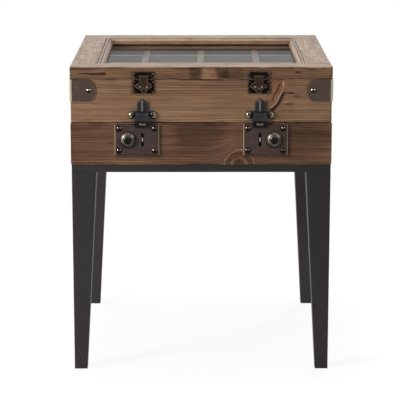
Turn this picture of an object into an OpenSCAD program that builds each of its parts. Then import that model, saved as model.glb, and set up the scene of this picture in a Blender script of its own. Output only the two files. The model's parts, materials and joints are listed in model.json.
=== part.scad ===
// Trunk coffee table: a boarded box in two halves on a tapered steel base,
// with a glazed lid over a divided display tray. The front faces -Y, +Z is up,
// and the origin is on the floor under the middle of the box.

/* [Box] */
// Width of the lower box and of the lid frame
box_w = 508; // [480:1:620]
// Depth of the lower box and of the lid frame
box_d = 508; // [480:1:620]
// Thickness of the box boards
board_t = 19; // [18:0.5:22]
// Width of the eased edge on a board
board_ease = 1.5; // [0.8:0.1:1.8]
// Height of the lower box boards
lower_h = 83; // [75:1:120]
// Height of the upper box boards
upper_h = 84.5; // [78:0.5:120]
// How far the upper box stands back at the front and sides
upper_inset = 1; // [0.5:0.1:2]
// Thickness of the bottom panel
panel_t = 12; // [10:0.5:16]
// Gap at each lid seam
seam = 0.5; // [0.3:0.1:0.9]

/* [Base frame] */
// Height of a leg, from the floor to the base rails
leg_h = 401; // [300:1:500]
// Width of a leg at the top
leg_top = 48; // [40:0.5:56]
// Width of a leg at the foot
leg_foot = 25.5; // [20:0.5:36]
// Wall of a leg
leg_wall = 2; // [1.5:0.1:3]
// Width of a base rail, seen from above
rail_w = 25; // [20:0.5:32]
// Height of a base rail
rail_h = 15; // [12:0.5:20]
// Wall of a base rail
rail_wall = 1.6; // [1.2:0.1:2.2]
// How far the base stands back from the lower box
base_inset = 1.2; // [0:0.1:4]
// Thickness of the sole of a foot cap
cap_sole = 3; // [2:0.5:6]
// Depth of the plug of a foot cap inside the leg
cap_plug = 14; // [8:1:24]
// Straight side of a triangular corner plate
plate_side = 78; // [72:1:90]
// Thickness of a corner plate
plate_t = 3; // [2:0.5:4]

/* [Lid frame] */
// Thickness of the lid frame
frame_t = 23.5; // [22:0.5:30]
// Width of the front and back rails of the lid frame
frame_rail_w = 51; // [46:1:64]
// Width of the side stiles of the lid frame
frame_stile_w = 50; // [46:1:64]
// Width of the glazing moulding
moulding_w = 13; // [11:0.5:16]
// Depth of the glass below the top of the frame
glass_drop = 14; // [12:0.5:15]
// Thickness of the glass
glass_t = 4; // [3:0.5:5]
// Width of the stops under the glass
stop_w = 9; // [7:0.5:12]
// Radius of the bead on the moulding
bead_r = 2.2; // [1.6:0.1:2.6]
// Height of the lip of the moulding at the glass
lip_h = 2.4; // [1.5:0.1:3.5]

/* [Tray] */
// Compartments across the tray
cells_x = 4; // [2:1:5]
// Compartments from front to back
cells_y = 4; // [2:1:5]
// Thickness of the dividers
divider_t = 13; // [8:0.5:16]
// Thickness of the tray walls
tray_wall = 8; // [6:0.5:12]
// Thickness of the tray floor
tray_floor_t = 4; // [3:0.5:8]
// Depth of the compartments
tray_depth = 38; // [25:1:44]
// Width and height of the ledges that carry the tray
ledge = 12; // [8:1:16]

/* [Butt hinges] */
// Distance of the hinges from the middle
hinge_x = 150; // [110:1:170]
// Length of a hinge along its pin
hinge_w = 60; // [50:1:76]
// Radius of the knuckles
hinge_r = 3.6; // [3.2:0.1:4.4]
// Radius of the hinge pins
hinge_pin_r = 1.8; // [1.2:0.1:2]
// Thickness of the hinge leaves
leaf_t = 1.6; // [1.2:0.1:1.8]
// Height of the trunk hinge leaves
trunk_leaf_h = 26; // [22:0.5:32]
// Height of the glass lid hinge leaves
glass_leaf_h = 19; // [17:0.5:21]

/* [Trunk lock] */
// Distance of the lock plates from the middle
lock_x = 125; // [100:1:150]
// Width of a lock plate
lock_w = 87; // [82:0.5:94]
// Height of a lock plate
lock_h = 61.5; // [57:0.5:66]
// How far a lock plate stands out from the board
lock_t = 3.4; // [2.6:0.1:5]
// Width of the bevel round a lock plate
lock_bevel = 2.4; // [1:0.1:3]
// Sheet thickness of a lock plate
lock_sheet = 1.2; // [0.8:0.1:1.4]
// Distance from the top of the lower box down to a lock plate
lock_drop = 2; // [1.5:0.1:4]
// Distance of the push button outwards from the plate centre
knob_dx = 17; // [14:0.5:19]
// Radius of the push button
button_r = 6.8; // [5.5:0.1:7.5]
// Travel of the push button
button_travel = 3; // [2:0.5:4]
// Radius of the bezel at the plate
bezel_r = 15.4; // [13.5:0.1:16]
// Height of the bezel
bezel_h = 8.5; // [6:0.1:11]
// Distance of the keyhole inwards from the plate centre
key_dx = 11; // [9:0.5:14]
// Height of the keyhole
key_h = 24.8; // [20:0.2:28]
// Width of the keyhole
key_w = 4; // [3.2:0.1:4]
// Radius of the round middle of the keyhole
key_round_r = 3.9; // [3.4:0.1:4.4]
// Depth of the lock case in the board
case_depth = 12; // [10:0.5:13]

/* [Hasp] */
// Height of the hasp pivot above the seam
hasp_rise = 17.5; // [16.5:0.5:22]
// Length of the flap below its pivot
flap_l = 27; // [24:0.5:32]
// Width of the flap
flap_w = 29; // [26:0.5:29]
// Thickness of the flap
flap_t = 3; // [2.6:0.1:4]
// Thickness of the fixed hasp plate
hasp_plate_t = 2; // [1.2:0.1:2.4]
// Distance of the large domes from the middle of the hasp
ear_dx = 20.7; // [19:0.1:23]
// Distance of the large domes below the pivot
ear_drop = 2.5; // [0:0.5:4]
// Width of the tongue above the hasp pivot
tab_w = 19.4; // [16:0.2:22]
// Height of that tongue above the pivot
tab_h = 23; // [20:0.5:28]
// Height of the rib above the top of that tongue
rib_over = 5.5; // [3.5:0.5:8]
// Radius of the rib on it
rib_r = 3.4; // [2.5:0.1:3.8]
// Radius of the hasp knuckles
hasp_r = 2.6; // [2.2:0.1:2.8]
// Length of the brass bar on the flap
bar_l = 15.2; // [12:0.2:16]
// Radius of the brass bar
bar_r = 3.1; // [2.4:0.1:3.4]

/* [Box latch] */
// Distance of the latches from the middle
latch_x = 111; // [100:1:130]
// Width of a latch
latch_w = 43; // [40:0.5:46]
// Height of the part on the lid frame
latch_up = 14; // [13:0.5:16]
// Height of the part on the upper box
latch_down = 28; // [27.5:0.5:32]
// Thickness of the latch plate on the lid frame
latch_t = 1.4; // [1:0.1:2]
// Height of the tongue pivot above the seam
tongue_rise = 5.9; // [4.5:0.1:7]
// Length of the tongue below its pivot
tongue_l = 27.6; // [26:0.1:28]
// Width of the tongue at its shoulders
tongue_w = 32.4; // [28:0.2:32.6]
// Thickness of the tongue
tongue_t = 2; // [1.6:0.1:2.2]
// Radius of the latch knuckles
latch_r = 1.7; // [1.6:0.1:2]

/* [Corner bracket] */
// Length of a bracket wing
bracket_l = 48.5; // [44:0.5:54]
// Height of a bracket
bracket_h = 43; // [36:0.5:50]
// Thickness of a bracket
bracket_t = 2.4; // [1.6:0.1:3]
// Radius of the round end of a wing
bracket_r = 27.4; // [26:0.1:32]
// Distance of the bracket nail from the corner
bracket_nail = 36; // [30:0.5:38]

/* [Nails and screws] */
// Radius of a small domed nail head
dome_r = 5.3; // [4.5:0.1:5.8]
// Height of a small domed nail head
dome_rise = 2.6; // [1.8:0.1:3.4]
// Radius of a large domed nail head on a hasp
ear_r = 7.7; // [7:0.1:8]
// Height of a large domed nail head
ear_rise = 5.4; // [4:0.1:6.5]
// Radius of the nail shanks
nail_r = 1.5; // [1:0.1:1.8]
// Length of a nail in the wood
nail_l = 10; // [6:0.5:12]
// Radius of a screw shank
screw_r = 1.9; // [1.5:0.1:2.1]
// Radius of a screw head
screw_head_r = 3.5; // [3:0.1:3.8]
// Length of a hinge screw
screw_l = 13; // [9:0.5:15]

/* [Fits] */
// Clearance of a pin in its bore, and of a nail or screw in its hole
fit = 0.05; // [0.02:0.01:0.09]
// Running gap between parts that move past each other
gap = 0.4; // [0.3:0.05:0.6]
// Clearance of a piece that is let into another
seat = 0.2; // [0.1:0.05:0.3]
// Open joint where two lengths meet at a corner
mitre_gap = 0.1; // [0.05:0.05:0.2]

/* [Hidden] */
$fn = 48;
// Least overlap of a cut past the face that it opens, and least straight on a round end
sliver = 0.01;
sides = [-1, 1];

// Levels above the floor
box_z = leg_h + rail_h;
lower_top = box_z + lower_h;
upper_z = lower_top + seam;
upper_top = upper_z + upper_h;
frame_z = upper_top + seam;
table_h = frame_z + frame_t;
trunk_axis_z = lower_top + seam / 2;
glass_axis_z = upper_top + seam / 2;

// Faces of the boxes
half_w = box_w / 2;
half_d = box_d / 2;
upper_half_w = half_w - upper_inset;
upper_front = half_d - upper_inset;
upper_depth = upper_front + half_d;
base_half_w = half_w - base_inset;
base_half_d = half_d - base_inset;

// Glazing, from the top of the frame down
opening_half_w = half_w - frame_stile_w;
opening_half_d = half_d - frame_rail_w;
glass_top = table_h - glass_drop;
glass_clear = 1;
stop_h = glass_top - glass_t - frame_z;

// Tray, hung just under the rim of the upper box
tray_rim_gap = 3;
batten_ease = 0.8;
tray_top = upper_top - tray_rim_gap;
tray_z = tray_top - tray_depth - tray_floor_t;
tray_half_w = upper_half_w - board_t - seat;
tray_front = upper_front - board_t - seat;
tray_back = half_d - board_t - seat;
tray_len = tray_front + tray_back;
tray_inner_w = 2 * (tray_half_w - tray_wall);
tray_inner_l = tray_len - 2 * tray_wall;
cell_w = (tray_inner_w - (cells_x - 1) * divider_t) / cells_x;
cell_l = (tray_inner_l - (cells_y - 1) * divider_t) / cells_y;
tray_cell_z = tray_z + tray_floor_t;
function divider_x(i) = -tray_inner_w / 2 + i * (cell_w + divider_t) - divider_t;
function divider_y(i) = -tray_front + tray_wall + i * (cell_l + divider_t) - divider_t;

// Hinges stand just clear of the back face
hinge_knuckles = 5;
hinge_stand = hinge_r + gap;
hinge_screw_dx = hinge_w / 3;
function leaf_mid(leaf_h) = (leaf_h + hinge_stand) / 2;

// Lock, with the plate hung from the top of the lower box
lock_z = lower_top - lock_drop - lock_h / 2;
lock_nail_in = 9;
lock_nail_dx = lock_w / 2 - lock_nail_in;
lock_nail_dz = lock_h / 2 - lock_nail_in;
lock_face = half_d + lock_t;
case_gap = 3;
case_over = 0.5;
plate_boss_r = 3.1;
case_half_w = lock_nail_dx - nail_r - case_gap;
case_half_h = lock_nail_dz + case_over;
button_bore_r = button_r + fit;
button_flange = 1.4;
button_flange_t = 1;
button_sink = 2.6;
button_dish = 0.8;

// Hasp, over the keyhole and clear of the lock plate
hasp_x = lock_x - key_dx;
hasp_axis_z = upper_z + hasp_rise;
flap_back = lock_face + gap;
hasp_axis_y = flap_back + flap_t / 2;
hasp_pin_r = 1.1;
hasp_half = ear_dx - ear_r - gap;
hasp_fixed_w = 4.2;
hasp_pocket_d = 1.8;
hasp_pocket_side = 2;
hasp_pocket_over = 2.5;
hasp_pocket_w = bar_l + 2 * hasp_pocket_side;
hasp_pocket_h = 2 * (bar_r + hasp_pocket_over);
hasp_border = 1.6;
ear_rim = 0.9;
bar_z = hasp_axis_z - flap_l + hasp_border + hasp_pocket_h / 2;

// Latch, its two plates in one plane
latch_face = half_d + latch_t;
latch_axis_y = latch_face + latch_r + gap;
latch_axis_z = frame_z + tongue_rise;
latch_pin_r = 0.8;
latch_fixed_w = 6;
boss_dx = 6.5;
boss_r = 2.4;
boss_sink = 0.8;
neck_half = 8;
tip_half = 5.6;
cup_gap = 2.2;
cup_w = 1.8;
cup_rise = 1.2;
notch_half = 2.7;
notch_h = 5;
stud_r = 1.9;
stud_over = 0.6;
stud_z = latch_axis_z - tongue_l + notch_h / 2;

// Section of a board with its four edges eased
function eased(a, b, e) = [
  [e, 0], [a - e, 0], [a, e], [a, b - e],
  [a - e, b], [e, b], [0, b - e], [0, e]
];

// Points of a cubic curve through four control points
function curve(a, b, c, d, n) = [
  for (i = [0 : n]) let (t = i / n, s = 1 - t)
    s * s * s * a + 3 * s * s * t * b + 3 * s * t * t * c + t * t * t * d
];

// Bar along X, its lowest corner at the origin
module bar_x(l, t, h, e) {
  rotate([90, 0, 90]) linear_extrude(l) polygon(eased(t, h, e));
}

// Bar along Y, its lowest corner at the origin
module bar_y(l, t, h, e) {
  translate([0, l, 0]) rotate([90, 0, 0]) linear_extrude(l) polygon(eased(t, h, e));
}

// Board along X with its ends eased as well
module board_x(l, t, h, e) {
  intersection() {
    bar_x(l, t, h, e);
    linear_extrude(h) polygon(eased(l, t, e));
    translate([0, t, 0]) rotate([90, 0, 0]) linear_extrude(t) polygon(eased(l, h, e));
  }
}

// Rectangle with round corners, centred
module round_rect(w, h, r) {
  square([w - 2 * r, h], center = true);
  square([w, h - 2 * r], center = true);
  for (x = sides, y = sides) translate([x * (w / 2 - r), y * (h / 2 - r)]) circle(r);
}

// Turns a shape so that its +X and +Y point inwards from the corner at the signs given
module inward(x, y) {
  mirror([x > 0 ? 1 : 0, 0, 0]) mirror([0, y > 0 ? 1 : 0, 0]) children();
}

// Turns a shape drawn in X and Y to stand in X and Z and grow towards the front
module facing_front() {
  rotate([90, 0, 0]) children();
}

// Copies a shape made for the right side to the side asked for
module on_side(s) {
  if (s < 0) mirror([1, 0, 0]) children();
  else children();
}

// Domed nail, head up, the plate face at z = 0
module domed_nail(r, rise, shank) {
  ball = (r * r + rise * rise) / (2 * rise);
  intersection() {
    translate([0, 0, rise - ball]) sphere(ball);
    cylinder(r = r, h = rise);
  }
  translate([0, 0, -shank]) cylinder(r = nail_r, h = shank);
}

// Slot of a screw head, the top of the head at z = 0
slot_w = 0.9;
slot_d = 0.7;

module screw_slot() {
  translate([-screw_head_r, -slot_w / 2, -slot_d]) cube([2 * screw_head_r, slot_w, 2 * slot_d]);
}

// Flat headed screw, its slotted head flush at z = 0
module flat_screw(l) {
  difference() {
    union() {
      translate([0, 0, -leaf_t]) cylinder(r1 = screw_r, r2 = screw_head_r, h = leaf_t);
      translate([0, 0, -l]) cylinder(r = screw_r, h = l - leaf_t);
    }
    screw_slot();
  }
}

// Hole for that screw
module screw_hole(l) {
  translate([0, 0, -leaf_t]) cylinder(r1 = screw_r + fit, r2 = screw_head_r + fit, h = leaf_t);
  translate([0, 0, -l - seat]) cylinder(r = screw_r + fit, h = l + seat - leaf_t);
}

// Leg: a square tube, upright outside and tapered inside, its outer corner at the origin
module taper(foot, top, h) {
  side = [[0, 0], [foot, 0], [top, h], [0, h]];
  intersection() {
    translate([0, top, 0]) rotate([90, 0, 0]) linear_extrude(top) polygon(side);
    rotate([90, 0, 90]) linear_extrude(top) polygon(side);
  }
}

leg_tube_h = leg_h - cap_sole;
leg_top_plate = 3;
cap_ease = 0.8;

module leg(x, y) {
  color("#343236") translate([x * base_half_w, y * base_half_d, cap_sole]) inward(x, y)
    difference() {
      taper(leg_foot, leg_top, leg_tube_h);
      translate([leg_wall, leg_wall, -leg_top_plate])
        taper(leg_foot - 2 * leg_wall, leg_top - 2 * leg_wall, leg_tube_h);
    }
}

// Foot cap: a sole as wide as the foot, with a plug that fits inside the tube
module foot_caps() {
  plug_w = leg_foot - 2 * leg_wall - 2 * seat;
  color("#1d1c1e") for (x = sides, y = sides)
    translate([x * base_half_w, y * base_half_d, 0]) inward(x, y) {
      intersection() {
        linear_extrude(cap_sole) polygon(eased(leg_foot, leg_foot, cap_ease));
        bar_x(leg_foot, leg_foot, 2 * cap_sole, cap_ease);
      }
      translate([leg_wall + seat, leg_wall + seat, cap_sole]) cube([plug_w, plug_w, cap_plug]);
    }
}

// Mitred bar seen from above: outer side of length l on y = 0, between depths a and b
module mitred(l, a, b) {
  half = (l - mitre_gap) / 2;
  polygon([[a - half, a], [half - a, a], [half - b, b], [b - half, b]]);
}

module base_rail(l) {
  difference() {
    linear_extrude(rail_h) mitred(l, 0, rail_w);
    translate([0, 0, rail_wall]) linear_extrude(rail_h - 2 * rail_wall)
      mitred(l, rail_wall, rail_w - rail_wall);
  }
}

module base_rails() {
  color("#343236") translate([0, 0, leg_h]) {
    translate([0, -base_half_d, 0]) base_rail(2 * base_half_w);
    translate([0, base_half_d, 0]) rotate([0, 0, 180]) base_rail(2 * base_half_w);
    translate([-base_half_w, 0, 0]) rotate([0, 0, -90]) base_rail(2 * base_half_d);
    translate([base_half_w, 0, 0]) rotate([0, 0, 90]) base_rail(2 * base_half_d);
  }
}

// Corner plates are welded in the top corners of the base and screwed to the bottom panel
plate_screw_in = leg_top + screw_head_r + 1 - rail_w;
base_screw_head_t = 2.2;
base_screw_short = 3;
base_screw_in = panel_t - base_screw_short;

module at_corners() {
  for (x = sides, y = sides)
    translate([x * (base_half_w - rail_w), y * (base_half_d - rail_w), 0]) inward(x, y) children();
}

module corner_plates() {
  color("#343236") at_corners() translate([0, 0, box_z - plate_t]) difference() {
    linear_extrude(plate_t) polygon([[0, 0], [plate_side, 0], [0, plate_side]]);
    translate([plate_screw_in, plate_screw_in, -1]) cylinder(r = screw_r + fit, h = plate_t + 2);
  }
}

// Boards of the lower box
module hinge_places(z, leaf_h, up) {
  for (s = sides, dx = [-1, 0, 1])
    translate([s * hinge_x + dx * hinge_screw_dx, half_d + leaf_t, z + up * leaf_mid(leaf_h)])
      rotate([-90, 0, 0]) children();
}

module lock_places() {
  for (s = sides) on_side(s) translate([lock_x, -half_d, lock_z]) facing_front() children();
}

module lock_nail_places() {
  for (x = sides, y = sides)
    translate([x * lock_nail_dx, y * lock_nail_dz, lock_t]) children();
}

module nail_hole(shank) {
  translate([0, 0, -shank - seat]) cylinder(r = nail_r + fit, h = shank + 2 * seat);
}

module lower_front_board() {
  color("#5f4636") difference() {
    translate([-half_w, -half_d, box_z]) board_x(box_w, board_t, lower_h, board_ease);
    lock_places() {
      translate([0, 0, -case_depth]) linear_extrude(case_depth + 1)
        square([2 * case_half_w + 2 * seat, 2 * case_half_h + 2 * seat], center = true);
      lock_nail_places() nail_hole(lock_t + nail_l);
    }
  }
}

module lower_back_board() {
  color("#5f4636") difference() {
    translate([-half_w, half_d - board_t, box_z]) board_x(box_w, board_t, lower_h, board_ease);
    hinge_places(trunk_axis_z, trunk_leaf_h, -1) screw_hole(screw_l);
  }
}

module lower_side_board(s) {
  color("#5f4636") translate([s > 0 ? half_w - board_t : -half_w, board_t - half_d, box_z])
    bar_y(box_d - 2 * board_t, board_t, lower_h, board_ease);
}

module bottom_panel() {
  color("#7a5b45") difference() {
    translate([board_t - half_w, board_t - half_d, box_z])
      cube([box_w - 2 * board_t, box_d - 2 * board_t, panel_t]);
    at_corners() translate([plate_screw_in, plate_screw_in, box_z - 1])
      cylinder(r = screw_r + fit, h = base_screw_in + 1 + seat);
  }
}

module lower_box_screws() {
  color("#8c8a86") {
    hinge_places(trunk_axis_z, trunk_leaf_h, -1) flat_screw(screw_l);
    at_corners() translate([plate_screw_in, plate_screw_in, box_z - plate_t]) {
      translate([0, 0, -base_screw_head_t]) difference() {
        cylinder(r = screw_head_r, h = base_screw_head_t);
        mirror([0, 0, 1]) screw_slot();
      }
      cylinder(r = screw_r, h = plate_t + base_screw_in);
    }
  }
}

// Butt hinge leaf on the back, axis along X through the origin, the board at y = -hinge_stand
module hinge_leaf(leaf_h, up) {
  knuckle = hinge_w / hinge_knuckles;
  difference() {
    union() {
      translate([-hinge_w / 2, -hinge_stand, up > 0 ? hinge_stand : -leaf_h])
        cube([hinge_w, leaf_t, leaf_h - hinge_stand]);
      for (i = [up > 0 ? 1 : 0 : 2 : hinge_knuckles - 1])
        translate([i * knuckle - hinge_w / 2 + gap / 2, 0, 0]) {
          rotate([0, 90, 0]) cylinder(r = hinge_r, h = knuckle - gap);
          translate([0, -hinge_stand, up > 0 ? 0 : -hinge_stand - 1])
            cube([knuckle - gap, leaf_t, hinge_stand + 1]);
        }
    }
    translate([-hinge_w / 2 - 1, 0, 0]) rotate([0, 90, 0])
      cylinder(r = hinge_pin_r + fit, h = hinge_w + 2);
    for (dx = [-1, 0, 1])
      translate([dx * hinge_screw_dx, leaf_t - hinge_stand, up * leaf_mid(leaf_h)])
        rotate([-90, 0, 0]) screw_hole(screw_l);
  }
}

module hinge_leaves(z, leaf_h, up) {
  color("#4a4441") for (s = sides) translate([s * hinge_x, half_d + hinge_stand, z])
    hinge_leaf(leaf_h, up);
}

module hinge_pins(z) {
  color("#6b655f") for (s = sides)
    translate([s * hinge_x - hinge_w / 2, half_d + hinge_stand, z]) rotate([0, 90, 0])
      cylinder(r = hinge_pin_r, h = hinge_w);
}

// Lock plate: a pressed pan with bevelled sides, the board at z = 0
module bevelled(w, h, t, bevel) {
  intersection() {
    translate([0, h / 2, 0]) rotate([90, 0, 0]) linear_extrude(h)
      polygon([[-w / 2, 0], [w / 2, 0], [w / 2 - bevel, t], [bevel - w / 2, t]]);
    translate([-w / 2, 0, 0]) rotate([90, 0, 90]) linear_extrude(w)
      polygon([[-h / 2, 0], [h / 2, 0], [h / 2 - bevel, t], [bevel - h / 2, t]]);
  }
}

module keyhole() {
  round_rect(key_w, key_h, key_w / 2 - sliver);
  circle(key_round_r);
}

module lock_plates() {
  color("#463c38") lock_places() difference() {
    bevelled(lock_w, lock_h, lock_t, lock_bevel);
    translate([0, 0, -sliver]) difference() {
      bevelled(lock_w - 2 * lock_sheet, lock_h - 2 * lock_sheet, lock_t - lock_sheet, lock_bevel);
      for (x = sides, y = sides) translate([x * lock_nail_dx, y * lock_nail_dz, 0])
        cylinder(r = plate_boss_r, h = lock_t);
    }
    lock_nail_places() nail_hole(lock_t);
    translate([knob_dx, 0, 0]) cylinder(r = button_bore_r, h = lock_t + 1);
    translate([-key_dx, 0, 0]) linear_extrude(lock_t + 1) keyhole();
  }
}

// Bezel: a turned ring that swells from a thin foot to a rolled lip round the button
bezel_foot = 1.2;
bezel_roll_r = 0.9;
bezel_lip_r = button_bore_r + bezel_roll_r + 0.1;

module bezel_half() {
  throat = 0.8 * bezel_h;
  crown = curve([bezel_r, bezel_foot], [bezel_r - 2.4, 0.62 * bezel_h],
                [bezel_lip_r + 3.4, 0.86 * bezel_h], [bezel_lip_r + bezel_roll_r, throat], 12);
  polygon(concat([[button_bore_r, 0], [bezel_r, 0]], crown, [[button_bore_r, throat]]));
  translate([bezel_lip_r, bezel_h - bezel_roll_r]) circle(bezel_roll_r, $fn = 24);
  translate([button_bore_r, 0]) square([bezel_lip_r - button_bore_r, bezel_h - bezel_roll_r]);
}

module lock_bezels() {
  color("#9a8f7e") lock_places() translate([knob_dx, 0, lock_t]) rotate_extrude() bezel_half();
}

module push_button(s) {
  face = lock_t + bezel_h - button_sink;
  seat_z = lock_t - lock_sheet - seat;
  dish_r = 1.6 * button_r;
  color("#231f1f") on_side(s) translate([lock_x, -half_d, lock_z]) facing_front()
    translate([knob_dx, 0, 0]) {
      difference() {
        cylinder(r = button_r, h = face);
        translate([0, 0, face + dish_r - button_dish]) sphere(dish_r);
      }
      translate([0, 0, seat_z - button_flange_t])
        cylinder(r = button_r + button_flange, h = button_flange_t);
    }
}

// Lock case: let into the board behind the plate, bored for the button and slotted for the key
module lock_cases() {
  flange_r = button_r + button_flange + gap;
  press = button_travel + button_flange_t + gap;
  key_depth = case_depth / 2;
  color("#6f6a63") lock_places() difference() {
    translate([0, 0, -case_depth]) linear_extrude(case_depth)
      square([2 * case_half_w, 2 * case_half_h], center = true);
    translate([knob_dx, 0, -press]) cylinder(r = flange_r, h = press + 1);
    translate([-key_dx, 0, -key_depth]) linear_extrude(case_depth) keyhole();
    translate([-key_dx, 0, -key_depth - key_post_root]) linear_extrude(key_post_root + 1)
      round_rect(2 * (key_post_r + fit), key_post_h + 2 * fit, key_post_r);
  }
}

// Post in the middle of the keyhole that guides the key
key_post_r = 1.3;
key_post_h = 7.6;
key_post_root = 2;

module key_posts() {
  low = case_depth / 2 + key_post_root;
  color("#b08d4f") lock_places() translate([-key_dx, 0, -low]) linear_extrude(low + lock_t + seat)
    round_rect(2 * key_post_r, key_post_h, key_post_r - sliver);
}

module lock_nails() {
  color("#a8946c") lock_places() lock_nail_places() domed_nail(dome_r, dome_rise, lock_t + nail_l);
}

// Boards of the upper box
module upper_front_board() {
  color("#82624a") difference() {
    translate([-upper_half_w, -upper_front, upper_z])
      board_x(2 * upper_half_w, board_t, upper_h, board_ease);
    hasp_places() ear_places() nail_hole(hasp_plate_t + nail_l);
    bracket_nail_places(1, 0) nail_hole(bracket_t + nail_l);
  }
}

module upper_back_board() {
  color("#82624a") difference() {
    translate([-upper_half_w, half_d - board_t, upper_z])
      board_x(2 * upper_half_w, board_t, upper_h, board_ease);
    hinge_places(trunk_axis_z, trunk_leaf_h, 1) screw_hole(screw_l);
    hinge_places(glass_axis_z, glass_leaf_h, -1) screw_hole(screw_l);
    bracket_nail_places(1, 0) nail_hole(bracket_t + nail_l);
  }
}

module upper_side_board(s) {
  color("#82624a") difference() {
    translate([s > 0 ? upper_half_w - board_t : -upper_half_w, board_t - upper_front, upper_z])
      bar_y(upper_depth - 2 * board_t, board_t, upper_h, board_ease);
    bracket_nail_places(0, 1) nail_hole(bracket_t + nail_l);
  }
}

module upper_box_screws() {
  color("#8c8a86") {
    hinge_places(trunk_axis_z, trunk_leaf_h, 1) flat_screw(screw_l);
    hinge_places(glass_axis_z, glass_leaf_h, -1) flat_screw(screw_l);
  }
}

// Tray: floor, walls and halved dividers that slot into each other
module tray_floor() {
  color("#8a6d54") translate([-tray_half_w, -tray_front, tray_z])
    cube([2 * tray_half_w, tray_len, tray_floor_t]);
}

module tray_walls() {
  color("#8a6d54") translate([0, 0, tray_cell_z]) {
    for (y = [-tray_front, tray_back - tray_wall]) translate([-tray_half_w, y, 0])
      cube([2 * tray_half_w, tray_wall, tray_depth]);
    for (x = [-tray_half_w, tray_half_w - tray_wall])
      translate([x, tray_wall - tray_front + mitre_gap, 0])
        cube([tray_wall, tray_inner_l - 2 * mitre_gap, tray_depth]);
  }
}

module tray_cross_dividers() {
  color("#a58d76") difference() {
    for (j = [1 : cells_y - 1]) translate([-tray_inner_w / 2, divider_y(j), tray_cell_z])
      cube([tray_inner_w, divider_t, tray_depth]);
    for (i = [1 : cells_x - 1])
      translate([divider_x(i) - seat, -tray_front, tray_cell_z + tray_depth / 2])
        cube([divider_t + 2 * seat, tray_len, tray_depth]);
  }
}

module tray_long_dividers() {
  color("#a58d76") difference() {
    for (i = [1 : cells_x - 1])
      translate([divider_x(i), tray_wall - tray_front, tray_cell_z])
        cube([divider_t, tray_inner_l, tray_depth]);
    for (j = [1 : cells_y - 1])
      translate([-tray_half_w, divider_y(j) - seat, tray_cell_z - tray_depth / 2])
        cube([2 * tray_half_w, divider_t + 2 * seat, tray_depth]);
  }
}

module tray_ledges() {
  inner = upper_half_w - board_t;
  color("#7a5b45") translate([0, 0, tray_z - ledge]) {
    for (y = [board_t - upper_front, half_d - board_t - ledge]) translate([-inner, y, 0])
      bar_x(2 * inner, ledge, ledge, batten_ease);
    for (x = [-inner, inner - ledge])
      translate([x, board_t - upper_front + ledge + mitre_gap, 0])
        bar_y(upper_depth - 2 * (board_t + ledge + mitre_gap), ledge, ledge, batten_ease);
  }
}

// Corner bracket: two wings with round ends, joined by a bend round the corner of the box
bracket_drop = 0.3;
bracket_z = upper_top - bracket_drop - bracket_h / 2;

module wing_outline() {
  bend = board_ease;
  intersection() {
    translate([bend, -bracket_h / 2]) square([bracket_l - bend, bracket_h]);
    union() {
      translate([0, -bracket_h / 2]) square([bracket_l - bracket_r, bracket_h]);
      translate([bracket_l - bracket_r, 0]) circle(bracket_r, $fn = 96);
    }
  }
}

module wing_nail_places(front, side) {
  if (front) translate([bracket_nail, -bracket_t, 0]) facing_front() children();
  if (side) mirror([1, -1, 0]) translate([bracket_nail, -bracket_t, 0]) facing_front() children();
}

module corner_bracket() {
  bend = board_ease;
  difference() {
    union() {
      facing_front() linear_extrude(bracket_t) wing_outline();
      mirror([1, -1, 0]) facing_front() linear_extrude(bracket_t) wing_outline();
      translate([bend, bend, -bracket_h / 2]) rotate([0, 0, 180])
        rotate_extrude(angle = 90) translate([bend, 0]) square([bracket_t, bracket_h]);
    }
    wing_nail_places(1, 1) nail_hole(bracket_t);
  }
}

module at_box_corners() {
  for (x = sides) {
    translate([x * upper_half_w, -upper_front, bracket_z]) inward(x, -1) children();
    translate([x * upper_half_w, half_d, bracket_z]) inward(x, 1) children();
  }
}

module bracket_nail_places(front, side) {
  at_box_corners() wing_nail_places(front, side) children();
}

module corner_brackets() {
  color("#51453b") at_box_corners() corner_bracket();
}

module bracket_nails() {
  color("#b08d4f") bracket_nail_places(1, 1) domed_nail(dome_r, dome_rise, bracket_t + nail_l);
}

// Hasp: a fixed plate with a ribbed tongue and two ears, and a hinged flap
module hasp_places() {
  for (s = sides) on_side(s) translate([hasp_x, -upper_front, hasp_axis_z]) facing_front() children();
}

module ear_places() {
  for (x = sides) translate([x * ear_dx, -ear_drop, hasp_plate_t]) children();
}

hasp_axis_out = hasp_axis_y - upper_front;
hasp_core = hasp_half - hasp_fixed_w;

module hasp_knuckle(a, b) {
  translate([a, 0, hasp_axis_out]) rotate([0, 90, 0]) cylinder(r = hasp_r, h = b - a);
}

module hasp_bore(r) {
  translate([-flap_w, 0, hasp_axis_out]) rotate([0, 90, 0]) cylinder(r = r, h = 2 * flap_w);
}

module hasp_plates() {
  ear_pad = ear_r + ear_rim;
  rib_sink = 1.2;
  rib_end = tab_h + rib_over - rib_r;
  color("#2f2e31") hasp_places() difference() {
    union() {
      linear_extrude(hasp_plate_t) {
        translate([0, -ear_drop]) square([2 * ear_dx, 2 * ear_pad], center = true);
        for (x = sides) translate([x * ear_dx, -ear_drop]) circle(ear_pad);
        translate([0, tab_h / 2]) round_rect(tab_w, tab_h, 3);
      }
      translate([0, hasp_r + gap, hasp_plate_t - rib_sink]) rotate([-90, 0, 0])
        cylinder(r = rib_r, h = rib_end - hasp_r - gap);
      translate([0, rib_end, hasp_plate_t - rib_sink]) sphere(rib_r);
      for (s = sides) on_side(s) {
        hasp_knuckle(hasp_core + gap, hasp_half);
        translate([hasp_core + gap, -hasp_r, 0])
          cube([hasp_fixed_w - gap, 2 * hasp_r, hasp_axis_out]);
      }
    }
    hasp_bore(hasp_pin_r + fit);
    ear_places() nail_hole(hasp_plate_t);
    translate([0, 0, -board_t]) linear_extrude(board_t) square(4 * flap_w, center = true);
  }
}

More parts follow.
